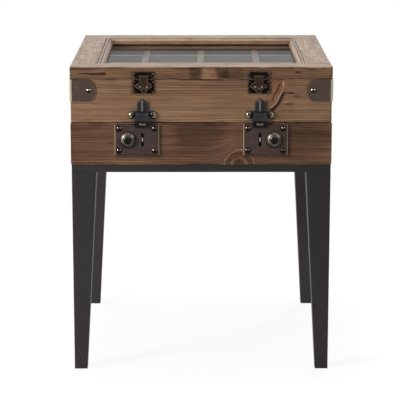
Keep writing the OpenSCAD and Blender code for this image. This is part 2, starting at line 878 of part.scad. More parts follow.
module hasp_flap(s) {
  low = gap + hasp_r;
  back = flap_back - upper_front;
  color("#2f2e31") on_side(s) translate([hasp_x, -upper_front, hasp_axis_z]) facing_front()
    difference() {
      union() {
        translate([0, -(flap_l + low) / 2, back]) linear_extrude(flap_t)
          round_rect(flap_w, flap_l - low, 3.5);
        hasp_knuckle(-hasp_core, hasp_core);
        translate([-hasp_core, -low - 1, back]) cube([2 * hasp_core, low + 1, flap_t]);
      }
      hasp_bore(hasp_pin_r + fit);
      translate([0, bar_z - hasp_axis_z, back + flap_t - hasp_pocket_d])
        linear_extrude(hasp_pocket_d + 1) round_rect(hasp_pocket_w, hasp_pocket_h, 4);
    }
}

module hasp_bar(s) {
  floor_z = flap_back - upper_front + flap_t - hasp_pocket_d;
  half = bar_l / 2 - bar_r;
  color("#a8946c") on_side(s) translate([hasp_x, -upper_front, bar_z]) facing_front()
    translate([0, 0, floor_z]) intersection() {
      union() {
        translate([-half, 0, 0]) rotate([0, 90, 0]) cylinder(r = bar_r, h = 2 * half);
        for (x = sides) translate([x * half, 0, 0]) sphere(bar_r);
      }
      translate([0, 0, bar_r]) cube([2 * bar_l, 4 * bar_r, 2 * bar_r], center = true);
    }
}

module hasp_pins() {
  color("#6b655f") hasp_places() translate([-hasp_half, 0, hasp_axis_out]) rotate([0, 90, 0])
    cylinder(r = hasp_pin_r, h = 2 * hasp_half);
}

module hasp_nails() {
  color("#8d7b57") hasp_places() ear_places() domed_nail(ear_r, ear_rise, hasp_plate_t + nail_l);
}

// Box latch: beaded plates on the frame and on the box, and a forked tongue
module latch_places() {
  for (s = sides) on_side(s) translate([latch_x, -half_d, latch_axis_z]) facing_front() children();
}

latch_axis_out = latch_axis_y - half_d;
bead_in = 3.4;
bead_head_r = 1.7;
bead_rise = 0.8;
latch_waist = 1.4;
latch_scallop = 1.2;

module latch_bead(x, z) {
  ball = (bead_head_r * bead_head_r + bead_rise * bead_rise) / (2 * bead_rise);
  for (s = sides) translate([s * x, z, latch_t + bead_rise - ball]) intersection() {
    sphere(ball);
    translate([0, 0, ball - bead_rise - 0.2]) cylinder(r = bead_head_r, h = 1);
  }
}

// Plate outline between two heights, with a lobe round each bead
module latch_outline(z0, z1, beads) {
  w = latch_w / 2 - latch_scallop;
  translate([-w, z0]) square([2 * w, z1 - z0]);
  for (s = sides, z = beads) intersection() {
    translate([s * (latch_w / 2 - bead_in), z]) circle(bead_in, $fn = 32);
    translate([-latch_w, z0]) square([2 * latch_w, z1 - z0]);
  }
}

latch_top = latch_up - tongue_rise;
latch_split = -tongue_rise;
latch_low_top = latch_split - seam;
latch_bottom = latch_low_top - latch_down;
upper_beads = [latch_top - bead_in, latch_split + bead_in];
lower_beads = [latch_low_top - bead_in - latch_waist, latch_bottom + bead_in];

module latch_upper_plates() {
  color("#2b2320") latch_places() difference() {
    union() {
      linear_extrude(latch_t) latch_outline(latch_split, latch_top, upper_beads);
      for (z = upper_beads) latch_bead(latch_w / 2 - bead_in, z);
      for (s = sides) on_side(s) {
        translate([neck_half + gap, 0, latch_axis_out]) rotate([0, 90, 0])
          cylinder(r = latch_r, h = latch_fixed_w);
        translate([neck_half + gap, -latch_r, 0]) cube([latch_fixed_w, 2 * latch_r, latch_axis_out]);
      }
    }
    translate([-latch_w, 0, latch_axis_out]) rotate([0, 90, 0])
      cylinder(r = latch_pin_r + fit, h = 2 * latch_w);
  }
}

module latch_lower_plates() {
  cup_r = tip_half + cup_gap;
  color("#2b2320") latch_places() {
    translate([0, 0, -upper_inset]) linear_extrude(latch_t + upper_inset)
      latch_outline(latch_bottom, latch_low_top, lower_beads);
    for (z = lower_beads) latch_bead(latch_w / 2 - bead_in, z);
    translate([0, stud_z - latch_axis_z, 0])
      cylinder(r = stud_r, h = latch_axis_out + tongue_t / 2 + stud_over, $fn = 32);
    translate([0, stud_z - latch_axis_z, 0]) linear_extrude(latch_t + cup_rise) intersection() {
      difference() {
        circle(cup_r);
        circle(cup_r - cup_w);
      }
      polygon([[0, 0], [-cup_r, -cup_r], [cup_r, -cup_r]]);
    }
  }
}

// Half outline of the tongue: a straight neck, swelling shoulders and a blunt forked tip
function tongue_side(s) = let (l = tongue_l, wide = tongue_w / 2) [
  for (p = concat(
    [[neck_half, 0]],
    curve([neck_half, -0.38 * l], [neck_half, -0.52 * l], [wide, -0.54 * l], [wide, -0.68 * l], 8),
    curve([wide, -0.74 * l], [wide - 2.5, -0.82 * l], [tip_half + 2.5, -0.86 * l], [tip_half, -l], 8)))
    [s * p[0], p[1]]
];

module latch_tongue(s) {
  right = tongue_side(1);
  left = tongue_side(-1);
  n = len(left);
  boss_z = -0.75 * tongue_l;
  back = latch_axis_out - tongue_t / 2;
  color("#33291f") on_side(s) translate([latch_x, -half_d, latch_axis_z]) facing_front()
    difference() {
      union() {
        translate([0, 0, back]) linear_extrude(tongue_t)
          polygon(concat(right, [for (i = [n - 1 : -1 : 0]) left[i]]));
        translate([-neck_half, 0, latch_axis_out]) rotate([0, 90, 0])
          cylinder(r = latch_r, h = 2 * neck_half);
        for (x = sides)
          translate([x * boss_dx, boss_z, latch_axis_out + tongue_t / 2 - boss_sink]) sphere(boss_r);
      }
      translate([-latch_w, 0, latch_axis_out]) rotate([0, 90, 0])
        cylinder(r = latch_pin_r + fit, h = 2 * latch_w);
      translate([0, -tongue_l, back - 1]) linear_extrude(tongue_t + 2) {
        square([2 * notch_half, 2 * (notch_h - notch_half)], center = true);
        translate([0, notch_h - notch_half]) circle(notch_half);
      }
      translate([0, 0, back - 4]) linear_extrude(4) square([4 * neck_half, 3 * tongue_l], center = true);
    }
}

module latch_pins() {
  reach = neck_half + gap + latch_fixed_w;
  color("#6b655f") latch_places() translate([-reach, 0, latch_axis_out]) rotate([0, 90, 0])
    cylinder(r = latch_pin_r, h = 2 * reach);
}

// Lid frame: two rails right across, with the stiles between them
module frame_rail(s) {
  color("#8c6e56") difference() {
    translate([-half_w, s > 0 ? half_d - frame_rail_w : -half_d, frame_z])
      board_x(box_w, frame_rail_w, frame_t, board_ease);
    if (s > 0) hinge_places(glass_axis_z, glass_leaf_h, 1) screw_hole(screw_l);
  }
}

module frame_stile(s) {
  color("#8c6e56")
    translate([s > 0 ? half_w - frame_stile_w : -half_w, frame_rail_w - half_d, frame_z])
      bar_y(box_d - 2 * frame_rail_w, frame_stile_w, frame_t, board_ease);
}

module frame_screws() {
  color("#8c8a86") hinge_places(glass_axis_z, glass_leaf_h, 1) flat_screw(screw_l);
}

// Moulding section: lip at the glass, a falling ogee, and a bead against the frame
module moulding_section() {
  h = glass_drop;
  bead_x = bead_r + 1;
  shoulder = h - 1.2 * bead_r;
  ogee = [for (i = [0 : 10]) let (t = i / 10)
    [moulding_w - t * (moulding_w - bead_x - bead_r * 0.8),
     lip_h + (shoulder - lip_h) * (1 - cos(180 * t)) / 2]];
  polygon(concat([[0, 0], [moulding_w, 0]], ogee, [[bead_x, shoulder], [0, h - 1.5 * bead_r]]));
  translate([bead_x, h - bead_r]) circle(bead_r, $fn = 32);
}

module moulding_run(l) {
  intersection() {
    translate([-l / 2, 0, 0]) rotate([90, 0, 90]) linear_extrude(l) moulding_section();
    linear_extrude(2 * glass_drop) mitred(l, 0, moulding_w);
  }
}

module glazing_moulding() {
  color("#8c6e56") translate([0, 0, glass_top]) {
    translate([0, -opening_half_d, 0]) moulding_run(2 * opening_half_w);
    translate([0, opening_half_d, 0]) rotate([0, 0, 180]) moulding_run(2 * opening_half_w);
    translate([-opening_half_w, 0, 0]) rotate([0, 0, -90]) moulding_run(2 * opening_half_d);
    translate([opening_half_w, 0, 0]) rotate([0, 0, 90]) moulding_run(2 * opening_half_d);
  }
}

module glass() {
  color("#b9c9c8", 0.35)
    translate([glass_clear - opening_half_w, glass_clear - opening_half_d, glass_top - glass_t])
      cube([2 * (opening_half_w - glass_clear), 2 * (opening_half_d - glass_clear), glass_t]);
}

module glass_stops() {
  color("#7a5b45") translate([0, 0, frame_z]) {
    for (y = [-opening_half_d, opening_half_d - stop_w]) translate([-opening_half_w, y, 0])
      bar_x(2 * opening_half_w, stop_w, stop_h, batten_ease);
    for (x = [-opening_half_w, opening_half_w - stop_w])
      translate([x, stop_w + mitre_gap - opening_half_d, 0])
        bar_y(2 * (opening_half_d - stop_w - mitre_gap), stop_w, stop_h, batten_ease);
  }
}

leg(-1, -1);  // leg_front_left
leg(1, -1);  // leg_front_right
leg(-1, 1);  // leg_back_left
leg(1, 1);  // leg_back_right
base_rails();
corner_plates();
foot_caps();
lower_front_board();
lower_back_board();
lower_side_board(-1);  // lower_left_board
lower_side_board(1);  // lower_right_board
bottom_panel();
lower_box_screws();
lock_plates();
lock_bezels();
lock_cases();
key_posts();
lock_nails();
push_button(-1);  // push_button_left
push_button(1);  // push_button_right
hinge_leaves(trunk_axis_z, trunk_leaf_h, -1);  // trunk_hinge_lower_leaves
hinge_leaves(trunk_axis_z, trunk_leaf_h, 1);  // trunk_hinge_upper_leaves
hinge_pins(trunk_axis_z);  // trunk_hinge_pins
upper_front_board();
upper_back_board();
upper_side_board(-1);  // upper_left_board
upper_side_board(1);  // upper_right_board
upper_box_screws();
tray_floor();
tray_walls();
tray_cross_dividers();
tray_long_dividers();
tray_ledges();
corner_brackets();
bracket_nails();
hasp_plates();
hasp_nails();
hasp_pins();
hasp_flap(-1);  // hasp_flap_left
hasp_flap(1);  // hasp_flap_right
hasp_bar(-1);  // hasp_bar_left
hasp_bar(1);  // hasp_bar_right
latch_lower_plates();
latch_upper_plates();
latch_pins();
latch_tongue(-1);  // latch_tongue_left
latch_tongue(1);  // latch_tongue_right
hinge_leaves(glass_axis_z, glass_leaf_h, -1);  // glass_hinge_lower_leaves
hinge_leaves(glass_axis_z, glass_leaf_h, 1);  // glass_hinge_upper_leaves
hinge_pins(glass_axis_z);  // glass_hinge_pins
frame_rail(-1);  // frame_front_rail
frame_rail(1);  // frame_back_rail
frame_stile(-1);  // frame_left_stile
frame_stile(1);  // frame_right_stile
frame_screws();
glazing_moulding();
glass();
glass_stops();
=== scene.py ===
"""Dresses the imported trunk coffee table: worn boards, steel base, trunk hardware and a plain studio."""

import json
import math

import bmesh
import bpy
import numpy as np
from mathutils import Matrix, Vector


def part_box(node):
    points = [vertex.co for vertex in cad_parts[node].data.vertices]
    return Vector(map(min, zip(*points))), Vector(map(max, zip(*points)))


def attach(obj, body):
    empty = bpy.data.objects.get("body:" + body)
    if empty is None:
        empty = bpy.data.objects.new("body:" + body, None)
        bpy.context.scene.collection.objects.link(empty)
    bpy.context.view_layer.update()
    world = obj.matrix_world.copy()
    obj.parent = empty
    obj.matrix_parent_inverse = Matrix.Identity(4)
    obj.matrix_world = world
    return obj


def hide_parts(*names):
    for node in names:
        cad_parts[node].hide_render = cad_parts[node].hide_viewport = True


bl_info = {
    "name": "Trunk Coffee Table",
    "version": (1, 0, 0),
    "blender": (4, 5, 0),
    "location": "View3D > Sidebar > Trunk Table",
    "description": "Worn boards, steel base, trunk hardware and studio for a trunk coffee table",
    "category": "Add Mesh",
}

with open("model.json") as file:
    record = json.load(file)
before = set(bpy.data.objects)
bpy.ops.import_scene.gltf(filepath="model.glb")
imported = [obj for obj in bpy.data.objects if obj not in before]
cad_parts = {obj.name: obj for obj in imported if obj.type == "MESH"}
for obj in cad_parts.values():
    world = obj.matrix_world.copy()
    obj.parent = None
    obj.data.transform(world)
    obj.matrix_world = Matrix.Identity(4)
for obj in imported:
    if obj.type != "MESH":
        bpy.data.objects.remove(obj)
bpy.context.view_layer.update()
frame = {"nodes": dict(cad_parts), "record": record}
RECORD = frame["record"]
BODY_OF = {node: body for body, nodes in RECORD["behaviour"]["bodies"].items() for node in nodes}
MM = 0.001
LARGE_FACE = 20 * MM ** 2
RINGS_PER_METRE = 225
WHITE = (1, 1, 1, 1)
SIDES = (-1, 1)


def middle(node):
    """Middle of a node's box."""
    low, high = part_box(node)
    return (low + high) / 2


# Places of the hardware on the right half of the front, and the middle of the box in depth.
LOCK_WIDTH = 87 * MM
LOCK_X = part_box("lock_plates")[1].x - LOCK_WIDTH / 2
BUTTON = middle("push_button_right")
HASP_X = middle("hasp_flap_right").x
LATCH_X = middle("latch_tongue_right").x
BOX_Y = middle("upper_left_board").y


def paint(red, green, blue):
    """A colour given as it looks, 0 to 255, in the linear form that shaders take (sRGB's curve)."""
    shares = [channel / 255 for channel in (red, green, blue)]
    return tuple(((v + 0.055) / 1.055) ** 2.4 if v > 0.04045 else v / 12.92 for v in shares)


def opaque(colour):
    """A colour with the fourth number that a colour socket takes."""
    return (*colour, 1.0)


def tinted(tone, red, green, blue):
    """A tone with its three channels multiplied, for a colour socket."""
    return opaque((tone[0] * red, tone[1] * green, tone[2] * blue))


def hypotenuse(first, second):
    """Length of the way to a place whose two parts are given."""
    return (first * first + second * second) ** 0.5


class Socket:
    """A shader socket that takes part in sums; each operator adds one Math node."""

    def __init__(self, tree, link):
        self.tree = tree
        self.link = link

    def maths(self, operation, *terms):
        return self.tree.node("ShaderNodeMath", {"operation": operation}, dict(enumerate(terms)))

    def __add__(self, other):
        return self.maths("ADD", self, other)

    def __radd__(self, other):
        return self.maths("ADD", other, self)

    def __sub__(self, other):
        return self.maths("SUBTRACT", self, other)

    def __rsub__(self, other):
        return self.maths("SUBTRACT", other, self)

    def __mul__(self, other):
        return self.maths("MULTIPLY", self, other)

    def __rmul__(self, other):
        return self.maths("MULTIPLY", other, self)

    def __truediv__(self, other):
        return self.maths("DIVIDE", self, other)

    def __pow__(self, other):
        return self.maths("POWER", self, other)

    def __abs__(self):
        return self.maths("ABSOLUTE", self)

    def fraction(self):
        return self.maths("FRACT", self)

    def least(self, other):
        return self.maths("MINIMUM", self, other)

    def most(self, other):
        return self.maths("MAXIMUM", self, other)

    def beside(self, output):
        """Another output of the same node."""
        return Socket(self.tree, self.link.node.outputs[output])


class Tree:
    """A node tree being written, with the one method that adds a node."""

    def __init__(self, tree):
        self.tree = tree
        tree.nodes.clear()

    def node(self, kind, settings=None, values=None, out=0):
        """Adds a node: its settings first, then the values or links of its sockets."""
        made = self.tree.nodes.new(kind)
        for key, value in (settings or {}).items():
            setattr(made, key, value)
        for key, value in (values or {}).items():
            if isinstance(value, Socket):
                self.tree.links.new(value.link, made.inputs[key])
            else:
                made.inputs[key].default_value = value
        return Socket(self, made.outputs[out]) if made.outputs else None

    def vector(self, x, y, z):
        return self.node("ShaderNodeCombineXYZ", None, {0: x, 1: y, 2: z})

    def split(self, vector):
        made = self.node("ShaderNodeSeparateXYZ", None, {0: vector})
        return [made.beside(part) for part in range(3)]

    def noise(self, vector, scale=1.0, detail=2.0, roughness=0.55):
        values = {"Vector": vector, "Scale": scale, "Detail": detail, "Roughness": roughness}
        return self.node("ShaderNodeTexNoise", None, values)

    def step(self, value, low, high):
        """0 below low and 1 above high, or the other way round where low is the larger."""
        values = {"Value": value, "From Min": low, "From Max": high}
        return self.node("ShaderNodeMapRange", {"interpolation_type": "SMOOTHSTEP"}, values)

    def above(self, value):
        """1 where a value is above nought, 0 where it is below."""
        return self.step(value, -MM, MM)

    def sign(self, value):
        """1 where a value is above nought, -1 where it is below."""
        return self.above(value) * 2 - 1

    def choose(self, factor, first, second):
        """Mixes two numbers."""
        return self.node("ShaderNodeMix", {"data_type": "FLOAT"}, {0: factor, 2: first, 3: second})

    def blend(self, factor, first, second):
        """Mixes two colours."""
        return self.node("ShaderNodeMix", {"data_type": "RGBA"}, {0: factor, 6: first, 7: second}, 2)

    def shade(self, colour, amount):
        """Multiplies a colour by a number."""
        grey = self.node("ShaderNodeCombineColor", None, {0: amount, 1: amount, 2: amount})
        settings = {"data_type": "RGBA", "blend_type": "MULTIPLY"}
        return self.node("ShaderNodeMix", settings, {0: 1.0, 6: colour, 7: grey}, 2)

    def seen(self, *kinds):
        """1 for rays of these kinds, such as Camera or Glossy, and 0 for all others."""
        path = self.node("ShaderNodeLightPath")
        total, *others = [path.beside(f"Is {kind} Ray") for kind in kinds]
        for ray in others:
            total = total.most(ray)
        return total


class Finish(Tree):
    """A material being written, on Object coordinates in metres."""

    def __init__(self, name):
        self.material = bpy.data.materials.new(name)
        self.material.use_nodes = True
        super().__init__(self.material.node_tree)
        self.place = self.node("ShaderNodeTexCoord", out="Object")
        self.x, self.y, self.z = self.split(self.place)

    def attribute(self, name):
        return self.node("ShaderNodeAttribute", {"attribute_name": name}, None, "Fac")

    def bump(self, height, distance, strength):
        values = {"Strength": strength, "Distance": distance, "Height": height}
        return self.node("ShaderNodeBump", None, values)

    def surface(self, colour, roughness, normal=None, **others):
        """Ends the material in a Principled shader and returns the material."""
        names = {"metallic": "Metallic", "alpha": "Alpha", "ior": "IOR", "specular": "Specular IOR Level"}
        values = {"Base Color": colour, "Roughness": roughness}
        values.update({names[key]: value for key, value in others.items()})
        if normal is not None:
            values["Normal"] = normal
        shader = self.node("ShaderNodeBsdfPrincipled", None, values)
        self.node("ShaderNodeOutputMaterial", None, {0: shader})
        return self.material


def ripple(points, wavelength, seed, waves=9):
    """Smooth noise, mostly from -1 to 1: a sum of sine waves with seeded directions, lengths and phases."""
    dice = np.random.default_rng(seed)
    ways = dice.normal(size=(waves, 3))
    ways /= np.linalg.norm(ways, axis=1, keepdims=True)
    pitch = wavelength * dice.uniform(0.6, 1.7, size=(waves, 1))
    phases = dice.uniform(0, 2 * np.pi, waves)
    return np.sin(points @ (ways * 2 * np.pi / pitch).T + phases).sum(axis=1) / math.sqrt(waves)


def grid_mesh(name, rows, wrap_rows=False, wrap_columns=True):
    """A mesh from an array of points, rows by columns by 3, joined to its neighbours as a grid."""
    count, across = rows.shape[:2]
    index = np.arange(count * across).reshape(count, across)
    first = index if wrap_rows else index[:-1]
    next_row = np.roll(index, -1, axis=0) if wrap_rows else index[1:]
    if wrap_columns:
        right, next_right = np.roll(first, -1, axis=1), np.roll(next_row, -1, axis=1)
    else:
        first, right = first[:, :-1], first[:, 1:]
        next_row, next_right = next_row[:, :-1], next_row[:, 1:]
    faces = np.stack([first, right, next_right, next_row], axis=-1).reshape(-1, 4)
    mesh = bpy.data.meshes.new(name)
    mesh.from_pydata(rows.reshape(-1, 3).tolist(), [], faces.tolist())
    return mesh


def finish_mesh(mesh, sharp_from):
    """Merges doubled points, turns the faces outwards and smooths all but edges as sharp as sharp_from."""
    work = bmesh.new()
    work.from_mesh(mesh)
    bmesh.ops.remove_doubles(work, verts=work.verts, dist=1e-6)
    bmesh.ops.dissolve_degenerate(work, edges=work.edges, dist=1e-7)
    bmesh.ops.recalc_face_normals(work, faces=work.faces)
    work.to_mesh(mesh)
    work.free()
    mesh.shade_smooth()
    mesh.set_sharp_from_angle(angle=math.radians(sharp_from))
    return mesh


def put(name, mesh, material, node):
    """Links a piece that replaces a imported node, moves with its body and takes its slot."""
    piece = bpy.data.objects.new(name, mesh)
    bpy.context.scene.collection.objects.link(piece)
    mesh.materials.append(material)
    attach(piece, BODY_OF[node])
    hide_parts(node)


def dress(material, *nodes):
    """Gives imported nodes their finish."""
    for node in nodes:
        for slot in frame["nodes"][node].material_slots:
            slot.link = "OBJECT"
            slot.material = material


def round_arrises(work, width):
    """Rounds the sharp arrises of a bmesh and marks the new faces in the layer rub.

    The arrises of its large faces come first, so that small features don't make them narrower.
    """
    rub = work.faces.layers.float.new("rub")
    sharp = math.radians(35)
    for least_area in (LARGE_FACE, 0):
        arrises = [edge for edge in work.edges
                   if len(edge.link_faces) == 2 and edge.calc_face_angle_signed() > sharp
                   and max(face.calc_area() for face in edge.link_faces) > least_area
                   and not any(face[rub] for face in edge.link_faces)]
        rounded = bmesh.ops.bevel(work, geom=arrises, offset=width, segments=2, profile=0.5,
                                  affect="EDGES", clamp_overlap=True)
        for face in rounded["faces"]:
            face[rub] = 1.0
    return rub


def softened(node, width, material, name, shape=None):
    """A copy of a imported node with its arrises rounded, which replaces it.

    The shading is smooth within the old faces and within the round arrises, and breaks between
    them. shape, where given, moves the points, as a function of their array.
    """
    mesh = frame["nodes"][node].data.copy()
    mesh.name = name
    mesh.materials.clear()
    work = bmesh.new()
    work.from_mesh(mesh)
    bmesh.ops.remove_doubles(work, verts=work.verts, dist=1e-5)
    bmesh.ops.dissolve_limit(work, angle_limit=math.radians(0.5), verts=work.verts, edges=work.edges)
    rub = round_arrises(work, width)
    bmesh.ops.triangulate(work, faces=[face for face in work.faces if len(face.verts) > 4])
    for face in work.faces:
        face.smooth = True
    crease = math.radians(20)
    for edge in work.edges:
        rubs = {face[rub] for face in edge.link_faces}
        edge.smooth = len(rubs) == 1 and edge.calc_face_angle(0.0) < crease
    work.to_mesh(mesh)
    work.free()
    if shape is not None:
        points = np.zeros(len(mesh.vertices) * 3)
        mesh.vertices.foreach_get("co", points)
        mesh.vertices.foreach_set("co", shape(points.reshape(-1, 3)).ravel())
    put(name, mesh, material, node)


def colour_setting(name, description, *channels):
    """A colour that the user can change; its default is given as it looks."""
    return bpy.props.FloatVectorProperty(
        name=name, description=description, subtype="COLOR", default=paint(*channels))


def number_setting(name, description, default, **kind):
    """A number that the user can change; kind is its unit or subtype."""
    return bpy.props.FloatProperty(name=name, description=description, default=default, **kind)


class TimberSettings(bpy.types.PropertyGroup):
    """Colours of the wood and how worn it is."""

    frame_tone: colour_setting("Lid frame", "Middle tone of the lid frame", 102, 76, 57)
    upper_tone: colour_setting("Upper box", "Middle tone of the upper box", 112, 86, 65)
    lower_tone: colour_setting("Lower box", "Middle tone of the lower box", 88, 62, 46)
    tray_tone: colour_setting("Tray", "Middle tone of the tray", 96, 80, 68)
    panel_tone: colour_setting("Panel", "Middle tone of the bottom panel, paler on the stops", 112, 84, 62)
    arris: number_setting("Arris", "Radius of a board's worn arris", 1.4 * MM, unit="LENGTH")
    wear: number_setting("Wear", "Depth of the wear along an arris", 1.1 * MM, unit="LENGTH")
    spacing: number_setting("Spacing", "Distance of the points on a board", 3.2 * MM, unit="LENGTH")


class MetalSettings(bpy.types.PropertyGroup):
    """Colours of the base and the hardware."""

    steel: colour_setting("Base", "Powder coat of the base", 40, 38, 39)
    bronze: colour_setting("Lock plate", "Dark bronze of the lock plates", 81, 65, 61)
    brass: colour_setting("Hasp bar", "Aged brass of the hasp bars", 130, 117, 88)
    black: colour_setting("Hasp", "Black lacquer of the hasps", 45, 44, 46)
    latch: colour_setting("Latch", "Dark bronze of the latches", 40, 28, 26)
    tongue: colour_setting("Latch tongue", "Rubbed olive bronze of the tongues", 71, 56, 43)
    bracket: colour_setting("Bracket", "Dark bronze of the corner brackets", 93, 79, 70)


class StudioSettings(bpy.types.PropertyGroup):
    """Camera and light."""

    distance: number_setting("Distance", "How far in front of the table the camera stands", 3.5925,
                             unit="LENGTH")
    height: number_setting("Height", "Height of the camera", 1.0767, unit="LENGTH")
    aside: number_setting("Aside", "How far right of the middle the camera stands", -0.0117, unit="LENGTH")
    pitch: number_setting("Pitch", "How far the camera looks down", math.radians(12.35), subtype="ANGLE")
    yaw: number_setting("Yaw", "How far the camera is turned left", math.radians(-0.16), subtype="ANGLE")
    lens: number_setting("Lens", "Focal length on a 36 mm sensor", 157.1, unit="CAMERA")
    ambient: number_setting("Ambient", "Light from all round", 0.17)
    room: number_setting("Room", "Brightness of the room behind the camera, as metal shows it", 0.14)
    lamp: number_setting("Lamp", "Power of a soft lamp whose share is 1", 38.0, unit="POWER")
    floor_tone: colour_setting("Floor", "Colour of the floor", 250, 250, 250)


class TRUNK_OT_stage(bpy.types.Operator):
    """Set up the camera, the soft lamps, the pale floor and the white background"""

    bl_idname = "trunk_table.stage"
    bl_label = "Studio"

    def execute(self, context):
        studio = context.scene.trunk_studio
        context.scene.view_settings.view_transform = "Standard"
        self.camera(context, studio)
        self.lamps(context, studio)
        self.floor(context, studio)
        self.world(context, studio)
        return {"FINISHED"}

    def camera(self, context, studio):
        camera = bpy.data.objects.new("camera", bpy.data.cameras.new("camera"))
        camera.data.lens = studio.lens
        camera.data.sensor_width = 36
        camera.location = (studio.aside, -studio.distance, studio.height)
        camera.rotation_euler = (math.radians(90) - studio.pitch, 0, studio.yaw)
        context.scene.collection.objects.link(camera)
        context.scene.camera = camera

    def lamps(self, context, studio):
        """Square lamps aimed at the table, each with its place and its share of the lamp power."""
        aim = Vector((0, 0, 0.4))
        places = {
            "left": (-2.9, -1.9, 1.8, 3.1),
            "right": (2.4, -2.4, 1.9, 0.7),
            "top": (-0.2, 0.2, 3.4, 2.25),
            "back": (1.5, 3.3, 1.8, 1.8),
        }
        for name, (x, y, z, share) in places.items():
            lamp = bpy.data.objects.new("lamp_" + name, bpy.data.lights.new("lamp_" + name, "AREA"))
            lamp.data.shape = "SQUARE"
            lamp.data.size = 0.8
            lamp.data.energy = studio.lamp * share
            lamp.location = (x, y, z)
            lamp.rotation_euler = (aim - lamp.location).to_track_quat("-Z", "Y").to_euler()
            lamp.visible_glossy = name in ("left", "right")
            context.scene.collection.objects.link(lamp)

    def floor(self, context, studio):
        """A wide flat sheet under the feet, as a grid of two by two points."""
        reach = 40.0
        corners = reach * np.array([[[-1, -1, 0], [1, -1, 0]], [[-1, 1, 0], [1, 1, 0]]])
        floor = bpy.data.objects.new("floor", grid_mesh("floor", corners, wrap_columns=False))
        context.scene.collection.objects.link(floor)
        floor.data.materials.append(self.floor_finish(studio))

    def floor_finish(self, studio):
        """Pale floor that keeps a soft shadow, lifted to white where the camera sees it."""
        f = Finish("pale_floor")
        plain = f.node("ShaderNodeBsdfDiffuse", None, {"Color": opaque(studio.floor_tone)})
        room = f.step(f.y, -1.8, -0.5) * (1 - studio.room) + studio.room
        shown = f.shade(WHITE, 1 - f.seen("Glossy") * (1 - room))
        glow = f.node("ShaderNodeEmission", None, {"Color": shown, "Strength": 1.0})
        far = f.step(hypotenuse(f.x, f.y), 0.5, 2.2)
        lifted = f.seen("Camera", "Glossy", "Transmission") * (far * 0.1 + 0.9)
        mixed = f.node("ShaderNodeMixShader", None, {0: lifted, 1: plain, 2: glow})
        f.node("ShaderNodeOutputMaterial", None, {0: mixed})
        return f.material

    def world(self, context, studio):
        """Plain light all round, behind it white for the camera and glass, and a dim room for metal."""
        world = bpy.data.worlds.new("studio")
        context.scene.world = world
        world.use_nodes = True
        tree = Tree(world.node_tree)
        light = tree.node("ShaderNodeBackground", None, {"Color": WHITE, "Strength": studio.ambient})
        _, back, up = tree.split(tree.node("ShaderNodeTexCoord"))
        room = tree.step(back + up * 0.25, -0.25, 0.12) * (1 - studio.room) + studio.room
        shown = tree.seen("Camera", "Transmission").most(room)
        white = tree.node("ShaderNodeBackground", None, {"Color": WHITE, "Strength": shown})
        seen = tree.seen("Camera", "Glossy", "Transmission")
        mixed = tree.node("ShaderNodeMixShader", None, {0: seen, 1: light, 2: white})
        tree.node("ShaderNodeOutputWorld", None, {0: mixed})


